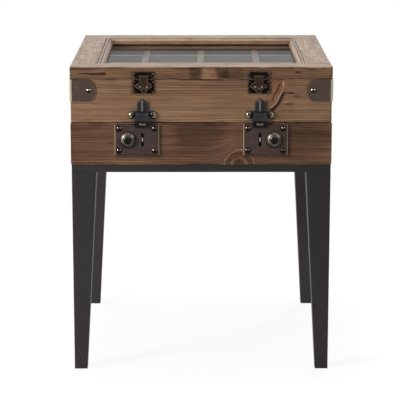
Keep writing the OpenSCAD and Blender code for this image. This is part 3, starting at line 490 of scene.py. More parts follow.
class Knot:
    """A knot in a board: its middle along and across the face, half sizes, tilt, and how dark it is.

    An arch is a knot cut along its length, which shows as pale hoops one over another.
    """

    def __init__(self, along, across, half_long, half_wide, tilt=0.0, dark=1.0, arch=False):
        self.along = along * MM
        self.across = across * MM
        self.half_long = half_long * MM
        self.half_wide = half_wide * MM
        self.tilt = math.radians(tilt)
        self.dark = dark
        self.arch = arch

    def reach(self, u, v):
        """Distance from the middle of the knot, 1 on its rim, with its parts along and across the knot."""
        du, dv = u - self.along, v - self.across
        long = (du * math.cos(self.tilt) + dv * math.sin(self.tilt)) / self.half_long
        wide = (dv * math.cos(self.tilt) - du * math.sin(self.tilt)) / self.half_wide
        return hypotenuse(long, wide), long, wide

    def draw(self, wood):
        """Paints the knot over the wood."""
        reach, long, wide = self.reach(wood.u, wood.v)
        wobble = wood.noise(wood.vector(wood.u * 70, wood.v * 70, wood.shift)) - 0.5
        ragged = reach + wobble * 0.25
        umber = tinted(wood.tone, 0.66, 0.5, 0.42)
        if self.arch:
            self.draw_arch(wood, ragged, umber)
        else:
            self.draw_round(wood, ragged, long, wide, wobble, umber)

    def draw_arch(self, wood, reach, umber):
        """Two pale hoops over a dark core."""
        hoop = wood.step(abs(reach - 1.0), 0.1, 0.03).most(wood.step(abs(reach - 0.5), 0.13, 0.04))
        core = wood.step(reach, 0.42, 0.25)
        between = wood.step(reach, 1.25, 0.9)
        wood.colour = wood.blend(hoop * 0.85, wood.colour, tinted(wood.tone, 1.05, 1.02, 1.0))
        wood.colour = wood.blend(core * 0.8, wood.colour, umber)
        wood.value *= (1 - between * 0.35) * (1 + hoop * 1.05)
        wood.relief += hoop * 0.4

    def draw_round(self, wood, reach, long, wide, wobble, umber):
        """A lined heart and crack, a dark rim above, painted highlight and shadow below, grain flowing round
        it.
        """
        tone, dark = wood.tone, self.dark
        inside = wood.step(reach, 1.04, 0.92)
        lines = wood.noise(wood.vector(long * 1.6, wide * 5 + wobble, wood.shift), 1.0, 3.0, 0.6)
        heart = wood.blend(wood.step(lines, 0.36, 0.6), umber, tinted(tone, 1.0, 0.86, 0.72))
        wood.colour = wood.blend(inside * (0.45 + dark * 0.4), wood.colour, heart)
        from_crack = abs(wide + 0.1 + (wood.sway - 0.5) * 0.9)
        crack = wood.step(from_crack, 0.15, 0.05) * wood.step(abs(long - 0.15), 0.85, 0.45)
        under = wood.step(wide * -1, 0.1, 0.4)
        # The lip below is a painted highlight.
        lip_highlight = wood.step(abs(reach - 0.95), 0.1, 0.04) * under * dark
        rim = wood.step(abs(reach - 1.02), 0.12, 0.03) * (1 - under)
        ring = wood.step(reach, 1.75, 1.35) * wood.step(reach, 1.0, 1.08)
        # Painted shadow just outside the lip, on the knot's lower side.
        hollow = ring * under * wood.step(long * -1, -0.55, -0.1)
        flow = wood.noise(wood.vector(reach * 9, long * 1.2, wood.shift))
        around = wood.step(reach, 2.2, 1.1) * (1 - inside)
        wood.colour = wood.blend(lip_highlight * 0.8, wood.colour, tinted(tone, 1.2, 1.25, 1.3))
        wood.value *= (1 - crack * (0.85 * dark)) * (1 + lip_highlight * 0.6) * (1 - rim * (0.35 * dark))
        wood.value *= (1 - hollow * (0.86 * dark)) * (1 + around * (flow - 0.5) * 1.6)
        wood.relief -= rim * 0.5 + crack * 1.2


class Timber(Finish):
    """Old pine being written: its colour, its value, which is how bright it is, and its relief.

    u runs along the grain, v across the face that shows the knots and stains, and w into the board.
    """

    def __init__(self, name, along, tone, seed, flat, top):
        super().__init__(name)
        self.tone = tone
        self.shift = seed * 3.71
        self.u, self.side = (self.x, self.y) if along == "X" else (self.y, self.x)
        self.v, self.w = (self.side, self.z) if flat else (self.z, self.side)
        self.sway = self.figure(11, 34, self.v, self.w)
        self.blotch = self.figure(6, 15, self.v, self.w, 3.0, 0.6)
        # Above top the wood is drawn paler and greyer, partly as painted sheen.
        self.dry_and_sheen = 0.0 if top is None else self.step(self.z, top - 1.2 * MM, top - 0.3 * MM)

    def figure(self, long, wide, across, into, detail=2.0, roughness=0.55):
        """Noise drawn out along the grain; long and wide say how fine it is along and across it."""
        place = self.vector(self.u * long + self.shift, across * wide, into * wide)
        return self.noise(place, 1.0, detail, roughness)

    def ring_noise(self, long, wide, across, detail=2.0):
        """Noise that follows the growth rings."""
        return self.noise(self.vector(self.u * long, across * wide, self.shift), 1.0, detail)

    def grow(self, knots, contrast):
        """Growth rings that part round the knots, with pale crests, fibres, veins and pores."""
        bent = self.v
        for knot in knots:
            reach, _, _ = knot.reach(self.u, self.v)
            bent -= (self.v - knot.across) * self.step(reach, 2.3, 0.4) * 0.75
        wander = self.figure(2.2, 6, self.v, self.w)
        across = bent + self.w * 0.3 + (wander - 0.5) * (24 * MM) + (self.sway - 0.5) * (2.2 * MM)
        uneven = self.ring_noise(0.8, 30, across, 1.0) * 2.6 + self.shift
        ring = (across * RINGS_PER_METRE + uneven).fraction()
        strength = self.step(self.ring_noise(2.5, 55, across), 0.34, 0.66)
        late = self.step(ring, 0.3, 0.86) * self.step(ring, 1.0, 0.92)
        bare = self.noise(self.vector(self.u * 3, across * 70 + 9, self.shift))
        crest = self.step(ring, 0.3, 0.05) * self.step(bare, 0.5, 0.66)
        vein = self.noise(self.vector(self.u * 3 + self.shift, across * 270, self.shift))
        self.fibre = self.figure(16, 520, bent, self.w, 4.0, 0.65)
        self.streak = self.figure(4, 130, bent, self.w, 4.0, 0.7)
        pore = self.step(self.figure(55, 900, bent, self.w), 0.64, 0.72)
        cloudy = (self.fibre - 0.5) * 1.1 + (self.streak - 0.5) * 0.9 + (self.blotch - 0.5) * 0.7
        lines = crest * 0.34 - late * strength * 0.4 - self.step(vein, 0.52, 0.68) * 0.3
        self.value = 1.16 + (cloudy + lines) * contrast - pore * 0.2
        warm = self.step(self.streak * 0.5 + self.blotch * 0.5 - late * 0.15, 0.36, 0.62)
        self.colour = self.blend(warm, tinted(self.tone, 0.93, 0.87, 0.82), tinted(self.tone, 1.08, 1.1, 1.1))
        self.relief = self.fibre * 0.6 + self.streak * 0.4 - late * 0.6 - pore * 0.7

    def stain(self, along, across, half_long, half_wide, strength, lean=None):
        """A ragged stain, light where its strength is below 0; lean gives it a figure of leaning lines."""
        du = (self.u - along * MM) / (half_long * MM)
        dv = (self.v - across * MM) / (half_wide * MM)
        ragged = du * du + dv * dv + (self.blotch - 0.5) * 1.5 + (self.streak - 0.5) * 3.2
        mask = self.step(ragged, 1.2, 0.2) * (1 - self.dry_and_sheen)
        if lean is not None:
            leaned = (self.v + abs(self.u - along * MM) * lean) * 420
            lines = self.noise(self.vector(self.u * 35 + self.shift, leaned, self.w * 35))
            self.value *= 1 + mask * (lines - 0.5) * 2.4
        self.value *= 1 - mask * strength

    def wear(self):
        """Pale wood along the worn arrises, dirt beside them, and dark dints and cracks."""
        edge = self.attribute("edge")
        chipped = self.figure(30, 30, self.v, self.w)
        worn = self.step(edge, 2.6 * MM, 0.4 * MM) * self.step(chipped, 0.42, 0.62)
        dirt_and_shade = self.step(edge, 6 * MM, 1 * MM) * self.step(chipped, 0.56, 0.36)
        self.value *= (1 + worn * 0.5) * (1 - dirt_and_shade * 0.28) * (1 - self.attribute("dint") * 0.8)

    def bleach_and_sheen(self):
        """Pale, specked and hollowed wood on the top, paler and greyer partly as painted sheen."""
        speck = self.figure(26, 95, self.side, self.z, 3.0, 0.7)
        lighter = 0.44 + (speck - 0.5) * 2.6 + (self.streak - 0.5) * 0.9
        self.value *= 1 + self.dry_and_sheen * lighter
        hollow = self.figure(30, 70, self.side, 0.0)
        self.relief += self.dry_and_sheen * (hollow - 0.5) * 8
        self.colour = self.blend(self.dry_and_sheen * 0.9, self.colour, tinted(self.tone, 1.06, 1.5, 2.0))

    def painted_shade(self, along, across, half_long, half_wide, soft, strength):
        """A rectangle of painted shade on the front face, whose border is soft over so many millimetres."""
        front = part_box("lower_front_board")[0].y
        facing = self.step(self.w, front + 6 * MM, front + 4 * MM)
        du = abs(self.u - along * MM) - half_long * MM
        dv = abs(self.v - across * MM) - half_wide * MM
        inside = self.step(du, 0.0, -soft * MM) * self.step(dv, 0.0, -soft * MM)
        self.value *= 1 - inside * facing * strength

    def end(self):
        """Ends the material and returns it."""
        spread = (self.blotch - 0.5) * 0.25 + (self.fibre - 0.5) * 0.15
        relief = self.bump(self.relief, 0.3 * MM, 0.8)
        return self.surface(self.shade(self.colour, self.value), 0.36 + spread + self.dry_and_sheen * 0.16, relief,
                            specular=0.22)


def timber(name, along, tone, seed, knots=(), stains=(), painted_shades=(), flat=False, edges=True, contrast=1.0,
           top=None):
    """Old pine: wandering growth rings, fibres, pores, knots, blotches, worn arrises.

    along is the axis of the grain. Knots, stains and rectangles of painted shade lie on the face that
    has Z across it, and are in millimetres: (along, across, half length, half width, ...), as Timber's
    methods take them. flat turns the face to lie level. Above the height top the wood is paler and
    greyer, partly as painted sheen. edges stands for the wear of a board that has the attributes edge
    and dint.
    """
    wood = Timber(name, along, tone, seed, flat, top)
    wood.grow(knots, contrast)
    for stain in stains:
        wood.stain(*stain)
    for knot in knots:
        knot.draw(wood)
    if edges:
        wood.wear()
    if top is not None:
        wood.bleach_and_sheen()
    wood.value = wood.value.most(0.12)
    for painted_shade in painted_shades:
        wood.painted_shade(*painted_shade)
    return wood.end()


def near_front(points):
    """Picks the points within 3 mm of the front of a board."""
    return points[:, 1] < points[:, 1].min() + 3 * MM


class Crack:
    """A drying crack in the front of a board, in millimetres: from one X to another at a height."""

    def __init__(self, start, end, height, width, depth):
        self.start = start * MM
        self.end = end * MM
        self.height = height * MM
        self.width = width * MM
        self.depth = depth * MM

    def depth_at(self, points):
        """A groove that opens from nothing at its start to its full width near its end."""
        run = (points[:, 0] - self.start) / (self.end - self.start)
        open_share = np.clip(run, 0, 1) ** 0.5 * np.clip((1 - run) * 18, 0, 1)
        drift = self.height + 0.5 * MM * np.sin(run * 7)
        apart = np.abs(points[:, 2] - drift) / (self.width / 2 * np.maximum(open_share, 0.02))
        return self.depth * open_share * np.exp(-(apart ** 2)) * near_front(points)


class Recess:
    """A round recess in the front of a board, in millimetres, that leaves room for a pressed button."""

    def __init__(self, along, height, radius, depth):
        self.along = along * MM
        self.height = height * MM
        self.radius = radius * MM
        self.depth = depth * MM

    def depth_at(self, points):
        """The full depth within the radius, less and less over the border beyond it."""
        border = 3 * MM
        apart = np.hypot(points[:, 0] - self.along, points[:, 2] - self.height)
        return self.depth * np.clip((self.radius + border - apart) / border, 0, 1) * near_front(points)


def section_loop(half_a, half_b, spacing, extra=()):
    """Round rectangle as two arrays: shares of the straight core, and directions out of it.

    A point is core * (half sizes - radius) + out * radius. extra holds heights, as shares of the
    core from -1 to 1, that get points of their own on the two sides across the first axis.
    """
    core, out = [], []
    steps = 4
    flat_a = np.linspace(-1, 1, max(3, int(2 * half_a / spacing) + 2))
    flat_b = np.linspace(-1, 1, max(3, int(2 * half_b / spacing) + 2))
    flat_b = np.unique(np.concatenate([flat_b, extra]))
    sides = [(flat_a, -1, 0, -1), (flat_b, 1, 1, 0), (flat_a[::-1], 1, 0, 1), (flat_b[::-1], -1, -1, 0)]
    for number, (shares, fixed, out_a, out_b) in enumerate(sides):
        along_a = number % 2 == 0
        for share in shares:
            core.append((share, fixed) if along_a else (fixed, share))
            out.append((out_a, out_b))
        turn = math.atan2(out_b, out_a)
        for step in range(1, steps):
            angle = turn + step / steps * math.pi / 2
            core.append(core[-1])
            out.append((math.cos(angle), math.sin(angle)))
    return np.array(core, float), np.array(out, float)


def board_points(low, high, radius, spacing, extra=()):
    """A round-edged board as a grid: loops of the section, carried along the longest side."""
    half = (np.array(high) - np.array(low)) / 2
    centre = (np.array(high) + np.array(low)) / 2
    long = int(np.argmax(half))
    a, b = [axis for axis in (1, 0, 2) if axis != long]
    shares = [(height * MM - centre[b]) / (half[b] - radius) for height in extra]
    core, out = section_loop(half[a], half[b], spacing, shares)
    inner = np.array([half[a] - radius, half[b] - radius])
    turns = np.radians([0, 22.5, 45, 67.5, 90])
    # A station is its place along the board, the share of the core and the share of the radius.
    caps = [(-half[long], share, 0.0) for share in (0, 0.3, 0.6, 0.85)]
    ends = [(-half[long] + radius * (1 - math.cos(turn)), 1.0, math.sin(turn)) for turn in turns]
    count = int((2 * half[long] - 2 * radius) / spacing)
    run = np.linspace(-half[long] + radius, half[long] - radius, count)[1:-1]
    stations = caps + ends + [(u, 1.0, 1.0) for u in run]
    stations += [(-u, share, grown) for u, share, grown in reversed(caps + ends)]
    points = np.zeros((len(stations), len(core), 3))
    for row, (u, share, grown) in enumerate(stations):
        points[row, :, long] = u
        points[row][:, [a, b]] = core * inner * share + out * radius * grown
    return points, half, centre, long


def wear_depth(points, edge, wear, seed):
    """Wear that fades away from the nearest arris, chipped by noise, and a shallow wave all over."""
    chips = np.clip(ripple(points, 9 * MM, seed) - 0.55, 0, 1)
    slow = 0.5 + 0.5 * ripple(points, 60 * MM, seed + 1)
    wave = 0.5 + 0.5 * ripple(points, 32 * MM, seed + 2)
    depth = wear * np.exp(-edge / (2.0 * MM)) * (0.25 * np.clip(slow, 0, 1) + chips)
    return depth + 0.12 * MM * np.clip(wave, 0, 1)


def dint_depth(points, seed, dints=26):
    """The deepest of a number of bell-shaped dints round seeded points."""
    dice = np.random.default_rng(seed)
    pits = points[dice.integers(0, len(points), dints)]
    sizes = dice.uniform(1.5, 4.5, dints) * MM
    hollows = dice.uniform(0.15, 0.5, dints) * MM
    apart = np.linalg.norm(points[:, None] - pits[None], axis=2)
    return (hollows * np.exp(-((apart / sizes) ** 2))).max(axis=1)


def worn_board(node, seed, wood, cuts):
    """A board with its wear, dints and cuts, all taken inwards, towards its core.

    The wear and dints are drawn out along the grain. The point attributes edge and dint hold the
    distance to the nearest arris and how dark a dint or cut is.
    """
    low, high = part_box(node)
    radius = wood.arris
    extra = [cut.height / MM + step for cut in cuts for step in (-1.6, -0.8, -0.4, 0, 0.4, 0.8, 1.6)]
    rows, half, centre, long = board_points(low, high, radius, wood.spacing, extra)
    points = rows.reshape(-1, 3)
    core = np.clip(points, radius - half, half - radius)
    normal = points - core
    normal /= np.maximum(np.linalg.norm(normal, axis=1, keepdims=True), 1e-9)
    to_side = np.sort(np.maximum(half - np.abs(points), 0), axis=1)
    edge = to_side[:, 1]
    stretch = np.ones(3)
    stretch[long] = 0.25
    worn = wear_depth(points * stretch, edge, wood.wear, seed)
    pit = dint_depth(points * stretch, seed)
    world = points + centre
    cut_depth = sum((cut.depth_at(world) for cut in cuts), np.zeros(len(points)))
    world = world - normal * (worn + pit + cut_depth)[:, None]
    mesh = grid_mesh("worn_" + node, world.reshape(rows.shape))
    dint = np.clip(cut_depth / (0.8 * MM) + pit / MM * 0.5, 0, 1)
    for label, values in (("edge", edge), ("dint", dint)):
        layer = mesh.attributes.new(label, "FLOAT", "POINT")
        layer.data.foreach_set("value", values.astype(np.float32))
    return finish_mesh(mesh, sharp_from=60)


def lay_boards(context, finishes, seed, cuts=()):
    """Replaces each node that has a finish with a worn board; the cuts are in the first one."""
    for number, (node, finish) in enumerate(finishes.items()):
        mesh = worn_board(node, seed + number, context.scene.trunk_timber, () if number else cuts)
        put("worn_" + node, mesh, finish, node)


class TRUNK_OT_base(bpy.types.Operator):
    """Make the welded steel base with its tapered legs, rail ring, corner plates and foot caps"""

    bl_idname = "trunk_table.base"
    bl_label = "Steel base"

    def execute(self, context):
        coat = self.powder_coat(context.scene.trunk_metal.steel)
        for node in ("leg_front_left", "leg_front_right", "leg_back_left", "leg_back_right"):
            put("tapered_" + node, self.leg(node), coat, node)
        put("rail_ring", self.ring(), coat, "base_rails")
        softened("corner_plates", 0.4 * MM, coat, "gusset_plates")
        softened("foot_caps", 0.5 * MM, self.moulded(), "moulded_caps")
        return {"FINISHED"}

    def powder_coat(self, tone):
        """Satin powder coat: fine orange peel and faint dust, with painted light that makes it paler towards
        the left and the back.
        """
        f = Finish("powder_coat")
        peel = f.noise(f.place, 900.0)
        cloud = f.noise(f.vector(f.x * 6, f.y * 6, f.z * 3), 1.0, 3.0)
        streak = f.noise(f.vector(f.x * 90, f.y * 90, f.z * 6), 1.0, 3.0)
        # Painted light: paler towards the left, where the strong lamp stands, and towards the back.
        value = 0.8 + cloud * 0.2 + streak * 0.1 - f.x * 0.45 + f.step(f.y, -0.1, 0.1) * 0.4
        colour = f.blend(cloud, opaque(tone), tinted(tone, 1.12, 1.0, 1.0))
        rough = 0.4 + cloud * 0.12 + streak * 0.06
        return f.surface(f.shade(colour, value), rough, f.bump(peel, 0.05 * MM, 0.5), specular=0.2)

    def moulded(self):
        """Moulded black plastic, scuffed near the floor."""
        f = Finish("moulded_black")
        grain = f.noise(f.place, 1400.0)
        scuff = f.step(f.noise(f.vector(f.x * 200, f.y * 200, f.z * 900), 1.0, 3.0), 0.5, 0.75)
        value = 1.0 + scuff * 1.6 * f.step(f.z, 3 * MM, 0.0)
        colour = f.shade(opaque(paint(30, 29, 31)), value)
        return f.surface(colour, 0.6 - scuff * 0.1, f.bump(grain, 0.04 * MM, 0.6))

    def leg(self, node):
        """Square tube with round arrises, closed at both ends, whose width grows evenly upwards.

        Its two outer sides are upright: the middle of each level lies half its width in from them.
        """
        low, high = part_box(node)
        arris, foot = 1.7 * MM, 25.5 * MM
        way = np.sign([high.x, high.y])
        outer = np.where(way > 0, [high.x, high.y], [low.x, low.y])
        core, out = section_loop(0.5, 0.5, 0.25)
        up = np.linspace(0, 1, 26)[:, None, None]
        half = (foot + (high.x - low.x - foot) * up) / 2
        rows = np.zeros((len(up) + 2, len(core), 3))
        rows[1:-1, :, :2] = outer - half * way + core * (half - arris) + out * arris
        rows[1:-1, :, 2:] = low.z + (high.z - low.z) * up
        rows[0] = rows[1].mean(axis=0)
        rows[-1] = rows[-2].mean(axis=0)
        return finish_mesh(grid_mesh("tapered_" + node, rows), sharp_from=50)

    def ring(self):
        """A round-edged tube section carried round a square, its corners turned on an arc."""
        low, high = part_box("base_rails")
        half_x, half_y = (high.x - low.x) / 2, (high.y - low.y) / 2
        width, height = 25 * MM, high.z - low.z
        arris, corner = 1.2 * MM, 1.7 * MM
        core, out = section_loop(width / 2, height / 2, 8 * MM)
        profile = core * [width / 2 - arris, height / 2 - arris] + out * arris
        inset = width / 2 - profile[:, 0]
        reach = np.maximum(corner - inset, 0)
        deep = np.maximum(inset, corner)
        rows = []
        for sign_x, sign_y, start in ((1, 1, 0), (-1, 1, 90), (-1, -1, 180), (1, -1, 270)):
            for turn in np.radians(start + np.array([0, 22.5, 45, 67.5, 90])):
                x = sign_x * (half_x - deep) + reach * math.cos(turn)
                y = sign_y * (half_y - deep) + reach * math.sin(turn)
                rows.append(np.stack([x, y, low.z + height / 2 + profile[:, 1]], axis=1))
        return finish_mesh(grid_mesh("rail_ring", np.array(rows), wrap_rows=True), sharp_from=50)


class TRUNK_OT_lower_box(bpy.types.Operator):
    """Make the worn boards of the lower box and dress its bottom panel"""

    bl_idname = "trunk_table.lower_box"
    bl_label = "Lower box"

    def execute(self, context):
        wood = context.scene.trunk_timber
        tone = wood.lower_tone
        knots = [Knot(74, 415.5, 29, 29, 0, 0.8, True), Knot(-176, 458, 5, 3, 20, 0.3)]
        stains = [(0, 470, 60, 60, 0.36), (-228, 490, 40, 14, 0.25), (205, 462, 70, 60, 0.36),
                  (-190, 424, 120, 7, -0.25)]
        # Painted shade behind each keyhole, which is under the hasp, and a painted shadow a little right of
        # and below each lock.
        keyhole_z = middle("key_posts").z / MM
        painted_shades = [(side * HASP_X / MM, keyhole_z, 7, 15, 1, 0.97) for side in SIDES]
        painted_shades += [(side * LOCK_X / MM + 4, 463, 50, 37, 9, 0.5) for side in SIDES]
        finishes = {
            "lower_front_board": timber("lower_front_pine", "X", tone, 1, knots, stains, painted_shades,
                                        contrast=1.05),
            "lower_back_board": timber("lower_back_pine", "X", tone, 2, [Knot(-90, 452, 11, 7, 30, 0.5)],
                                       contrast=1.05),
            "lower_left_board": timber("lower_left_pine", "Y", tone, 3, [Knot(60, 470, 10, 7, -20, 0.5)]),
            "lower_right_board": timber("lower_right_pine", "Y", tone, 4, [Knot(-120, 440, 8, 6, 0, 0.5)]),
        }
        recesses = [Recess(side * BUTTON.x / MM, BUTTON.z / MM, 10, 7) for side in SIDES]
        lay_boards(context, finishes, 11, recesses)
        dress(timber("panel_pine", "X", wood.panel_tone, 5, flat=True, edges=False), "bottom_panel")
        return {"FINISHED"}


class TRUNK_OT_upper_box(bpy.types.Operator):
    """Make the worn boards of the upper box"""

    bl_idname = "trunk_table.upper_box"
    bl_label = "Upper box"

    def execute(self, context):
        tone = context.scene.trunk_timber.upper_tone
        knots = [Knot(142.8, 556.2, 30, 11.8, 65, 1.0), Knot(-222, 520, 6, 3, 0, 0.3)]
        stains = [(190, 562, 45, 16, 0.16), (165, 530, 24, 14, 0.16), (60, 575, 60, 10, 0.14),
                  (172, 557, 10, 2.2, 0.75), (184, 551, 9, 1.8, 0.6), (161, 539, 9, 1.5, -0.5),
                  (170, 535, 12, 2.2, 0.55)]
        # Painted shadows a little to the right of the tab and the ears of each hasp, and round each latch.
        fitting_shadows = ((4, 531, 15, 14), (5, 511, 26, 12), (0, 568, 25, 16))
        painted_shades = [(side * HASP_X / MM + aside, height, half_long, half_wide, 6, 0.5)
                   for side in SIDES for aside, height, half_long, half_wide in fitting_shadows]
        finishes = {
            "upper_front_board": timber("upper_front_pine", "X", tone, 6, knots, stains, painted_shades,
                                        contrast=0.9),
            "upper_back_board": timber("upper_back_pine", "X", tone, 7, [Knot(40, 540, 12, 8, 10, 0.5)]),
            "upper_left_board": timber("upper_left_pine", "Y", tone, 8, [Knot(-70, 530, 11, 7, 25, 0.5)]),
            "upper_right_board": timber("upper_right_pine", "Y", tone, 9, [Knot(100, 560, 9, 6, 0, 0.5)]),
        }
        lay_boards(context, finishes, 21)
        return {"FINISHED"}


class TRUNK_OT_lid_frame(bpy.types.Operator):
    """Make the worn rails and stiles of the lid frame, and dress the moulding, the stops and the glass"""

    bl_idname = "trunk_table.lid_frame"
    bl_label = "Lid frame and glass"

    def execute(self, context):
        wood = context.scene.trunk_timber
        tone = wood.frame_tone
        stains = [(-11, 596, 14, 60, 0.55, 0.3), (-32, 605, 26, 3.5, 0.35), (42, 596, 12, 60, 0.45, -0.3),
                  (60, 597, 22, 12, 0.3, -0.2), (14, 597, 16, 50, -0.3, -0.8), (30, 603, 7, 6, 0.3, 0.9),
                  (-225, 604, 30, 5, 0.35), (-215, 588, 34, 3, 0.35), (187, 597.5, 6, 2.2, 0.75),
                  (187, 604, 9, 3, -0.35), (216, 603, 12, 2.2, 0.45), (100, 596, 40, 12, 0.14),
                  (-60, 590, 60, 6, 0.2)]
        # A painted shadow round each latch.
        painted_shades = [(side * HASP_X / MM, 592, 25, 10, 5, 0.4) for side in SIDES]
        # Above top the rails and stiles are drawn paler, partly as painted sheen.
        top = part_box("frame_front_rail")[1].z
        finishes = {
            "frame_front_rail": timber("frame_front_pine", "X", tone, 10, [], stains, painted_shades, top=top),
            "frame_back_rail": timber("frame_back_pine", "X", tone, 15, top=top),
            "frame_left_stile": timber("frame_left_pine", "Y", tone, 16, flat=True, top=top, contrast=0.8),
            "frame_right_stile": timber("frame_right_pine", "Y", tone, 17, flat=True, top=top, contrast=0.8),
        }
        lay_boards(context, finishes, 31, [Crack(-243, -182, 594.6, 3.2, 3.4)])
        dress(self.moulding(tone), "glazing_moulding")
        # The stops take 2.3 times the panel's tone, as painted light where they lie in shade inside the
        # frame.
        stop_tone = [channel * 2.3 for channel in wood.panel_tone]
        dress(timber("stop_pine", "X", stop_tone, 18, edges=False), "glass_stops")
        dress(self.pane(), "glass")
        return {"FINISHED"}

    def moulding(self, tone):
        """Pine grained along each length: painted light above its lower edge, painted shade in grooves and
        its foot.
        """
        f = Finish("moulding_pine")
        low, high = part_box("glazing_moulding")
        side = f.above(abs(f.x) / high.x - abs(f.y) / high.y)
        along = f.choose(side, f.x, f.y)
        across = f.choose(side, f.y, f.x)
        fibre = f.noise(f.vector(along * 16, across * 520, f.z * 520), 1.0, 4.0, 0.65)
        streak = f.noise(f.vector(along * 9, across * 130, f.z * 130), 1.0, 3.0)
        blotch = f.noise(f.vector(along * 30, across * 30, f.z * 30), 1.0, 3.0, 0.7)
        speck = f.noise(f.vector(along * 60, across * 150, f.z * 150), 1.0, 3.0, 0.7)
        inward = (high.x - abs(f.x)).least(high.y - abs(f.y))
        # Painted shade in the quirk beside the bead on the side lengths.
        quirk_shade = f.step(abs(inward - 5.2 * MM), 1.6 * MM, 0.5 * MM)
        ridge = f.step(f.z, high.z - 6 * MM, high.z - 0.5 * MM)
        # Painted light: the upper part is paler and greyer.
        up = f.z - low.z - (1 - side) * (3.5 * MM)
        dry_and_sheen = f.step(up, 3 * MM, 6.5 * MM) * 0.85
        # A painted shade line on the bead's front, on the front and back lengths.
        groove_shade = f.step(abs(f.z - high.z + 1.1 * MM), 0.9 * MM, 0.4 * MM) * (1 - side)
        value = 1.2 + (fibre - 0.5) * 0.9 + (streak - 0.5) * 0.8 + (blotch - 0.5) * 1.3
        value += dry_and_sheen * (0.95 - ridge * side * 0.45 + (speck - 0.5) * 3)
        value *= (1 - quirk_shade * side * 0.6) * (1 - groove_shade * 0.5)
        # Painted shade along the foot, where the moulding meets the glass.
        value *= 1 - f.step(f.z, low.z + 4.5 * MM, low.z + 1 * MM) * 0.3
        colour = f.shade(f.blend(dry_and_sheen, opaque(tone), tinted(tone, 1.15, 1.7, 2.4)), value.most(0.1))
        return f.surface(colour, 0.4 + blotch * 0.1, f.bump(fibre + streak, 0.25 * MM, 0.8), specular=0.22)

    def pane(self):
        """Clear float glass: a dark tint, a polished face, and more mirror where it is seen aslant."""
        f = Finish("float_glass")
        aslant = f.node("ShaderNodeLayerWeight", None, {"Blend": 0.35}, "Facing")
        smear = f.noise(f.vector(f.x * 9, f.y * 5, 0.0), 1.0, 3.0)
        alpha = 0.07 + aslant * 0.175 + smear * 0.02
        return f.surface(opaque(paint(44, 50, 54)), 0.03 + smear * 0.02, alpha=alpha, ior=1.46)


class TRUNK_OT_tray(bpy.types.Operator):
    """Dress the display tray, its dividers and its ledges"""

    bl_idname = "trunk_table.tray"
    bl_label = "Display tray"

    def execute(self, context):
        tone = context.scene.trunk_timber.tray_tone
        plain = {"edges": False, "contrast": 0.8}
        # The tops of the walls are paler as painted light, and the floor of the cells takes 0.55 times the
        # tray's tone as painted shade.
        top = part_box("tray_walls")[1].z
        floor_tone = [channel * 0.55 for channel in tone]
        dress(timber("tray_wall_pine", "X", tone, 44, top=top, **plain), "tray_walls")
        dress(timber("tray_pine_across", "X", tone, 41, **plain), "tray_cross_dividers", "tray_ledges")
        dress(timber("tray_pine_deep", "Y", tone, 42, **plain), "tray_long_dividers")
        dress(timber("tray_floor_pine", "Y", floor_tone, 43, flat=True, **plain), "tray_floor")
        return {"FINISHED"}


def aged_metal(name, tone, bright, rough=0.36, metallic=0.9, patch=0.1, edge=0.7, mask=None, dirt_and_shade=None,
               pits=0.05):
    """Aged metal: a cloudy patina, with brighter metal on rubbed arrises and in a few patches.

    tone and bright are the colours of the patina and of the bare metal. patch and edge say how bare
    the patches and arrises are. mask and the darkening function, where given, are functions of the
    finish: where the patina is rubbed away, with painted highlights on some parts, and where painted
    shade darkens the metal. pits is the depth of the relief in millimetres.
    """
    f = Finish(name)
    cloud = f.noise(f.place, 70.0, 3.0, 0.6)
    fine = f.noise(f.place, 900.0, 3.0, 0.6)
    scratch = f.noise(f.vector(f.x * 160, f.y * 160, f.z * 2400))
    rubbed_and_highlit = f.step(cloud + fine * 0.3, 0.66, 0.9) * patch
    rubbed_and_highlit = rubbed_and_highlit.most(f.attribute("rub") * f.step(fine + cloud, 0.7, 1.0) * edge)
    if mask is not None:
        rubbed_and_highlit = rubbed_and_highlit.most(mask(f))
    value = 0.82 + (fine - 0.5) * 0.25 + cloud * 0.3
    if dirt_and_shade is not None:
        value *= 1 - dirt_and_shade(f)
    colour = f.shade(f.blend(rubbed_and_highlit, opaque(tone), opaque(bright)), value)
    roughness = (0.75 + fine * 0.5 - rubbed_and_highlit * 0.2) * rough
    height = fine * 0.5 + cloud * 0.4 - f.step(scratch, 0.62, 0.7) * 0.2
    return f.surface(colour, roughness, f.bump(height, pits * MM, 0.6), metallic=metallic, specular=0.3)


def dome_painted_shade(f):
    """Painted shade round the rim and over the lower half of each nail head, told by the way its surface
    faces.
    """
    way_x, way_y, way_z = f.split(f.place.beside("Normal"))
    at_side = f.above(abs(f.x) - abs(f.y - BOX_Y))
    crown = f.choose(at_side, abs(way_y), abs(way_x))
    return (f.step(crown, 0.82, 0.72) * 0.96).most(f.step(way_z * -1, -0.08, 0.12) * 0.93)


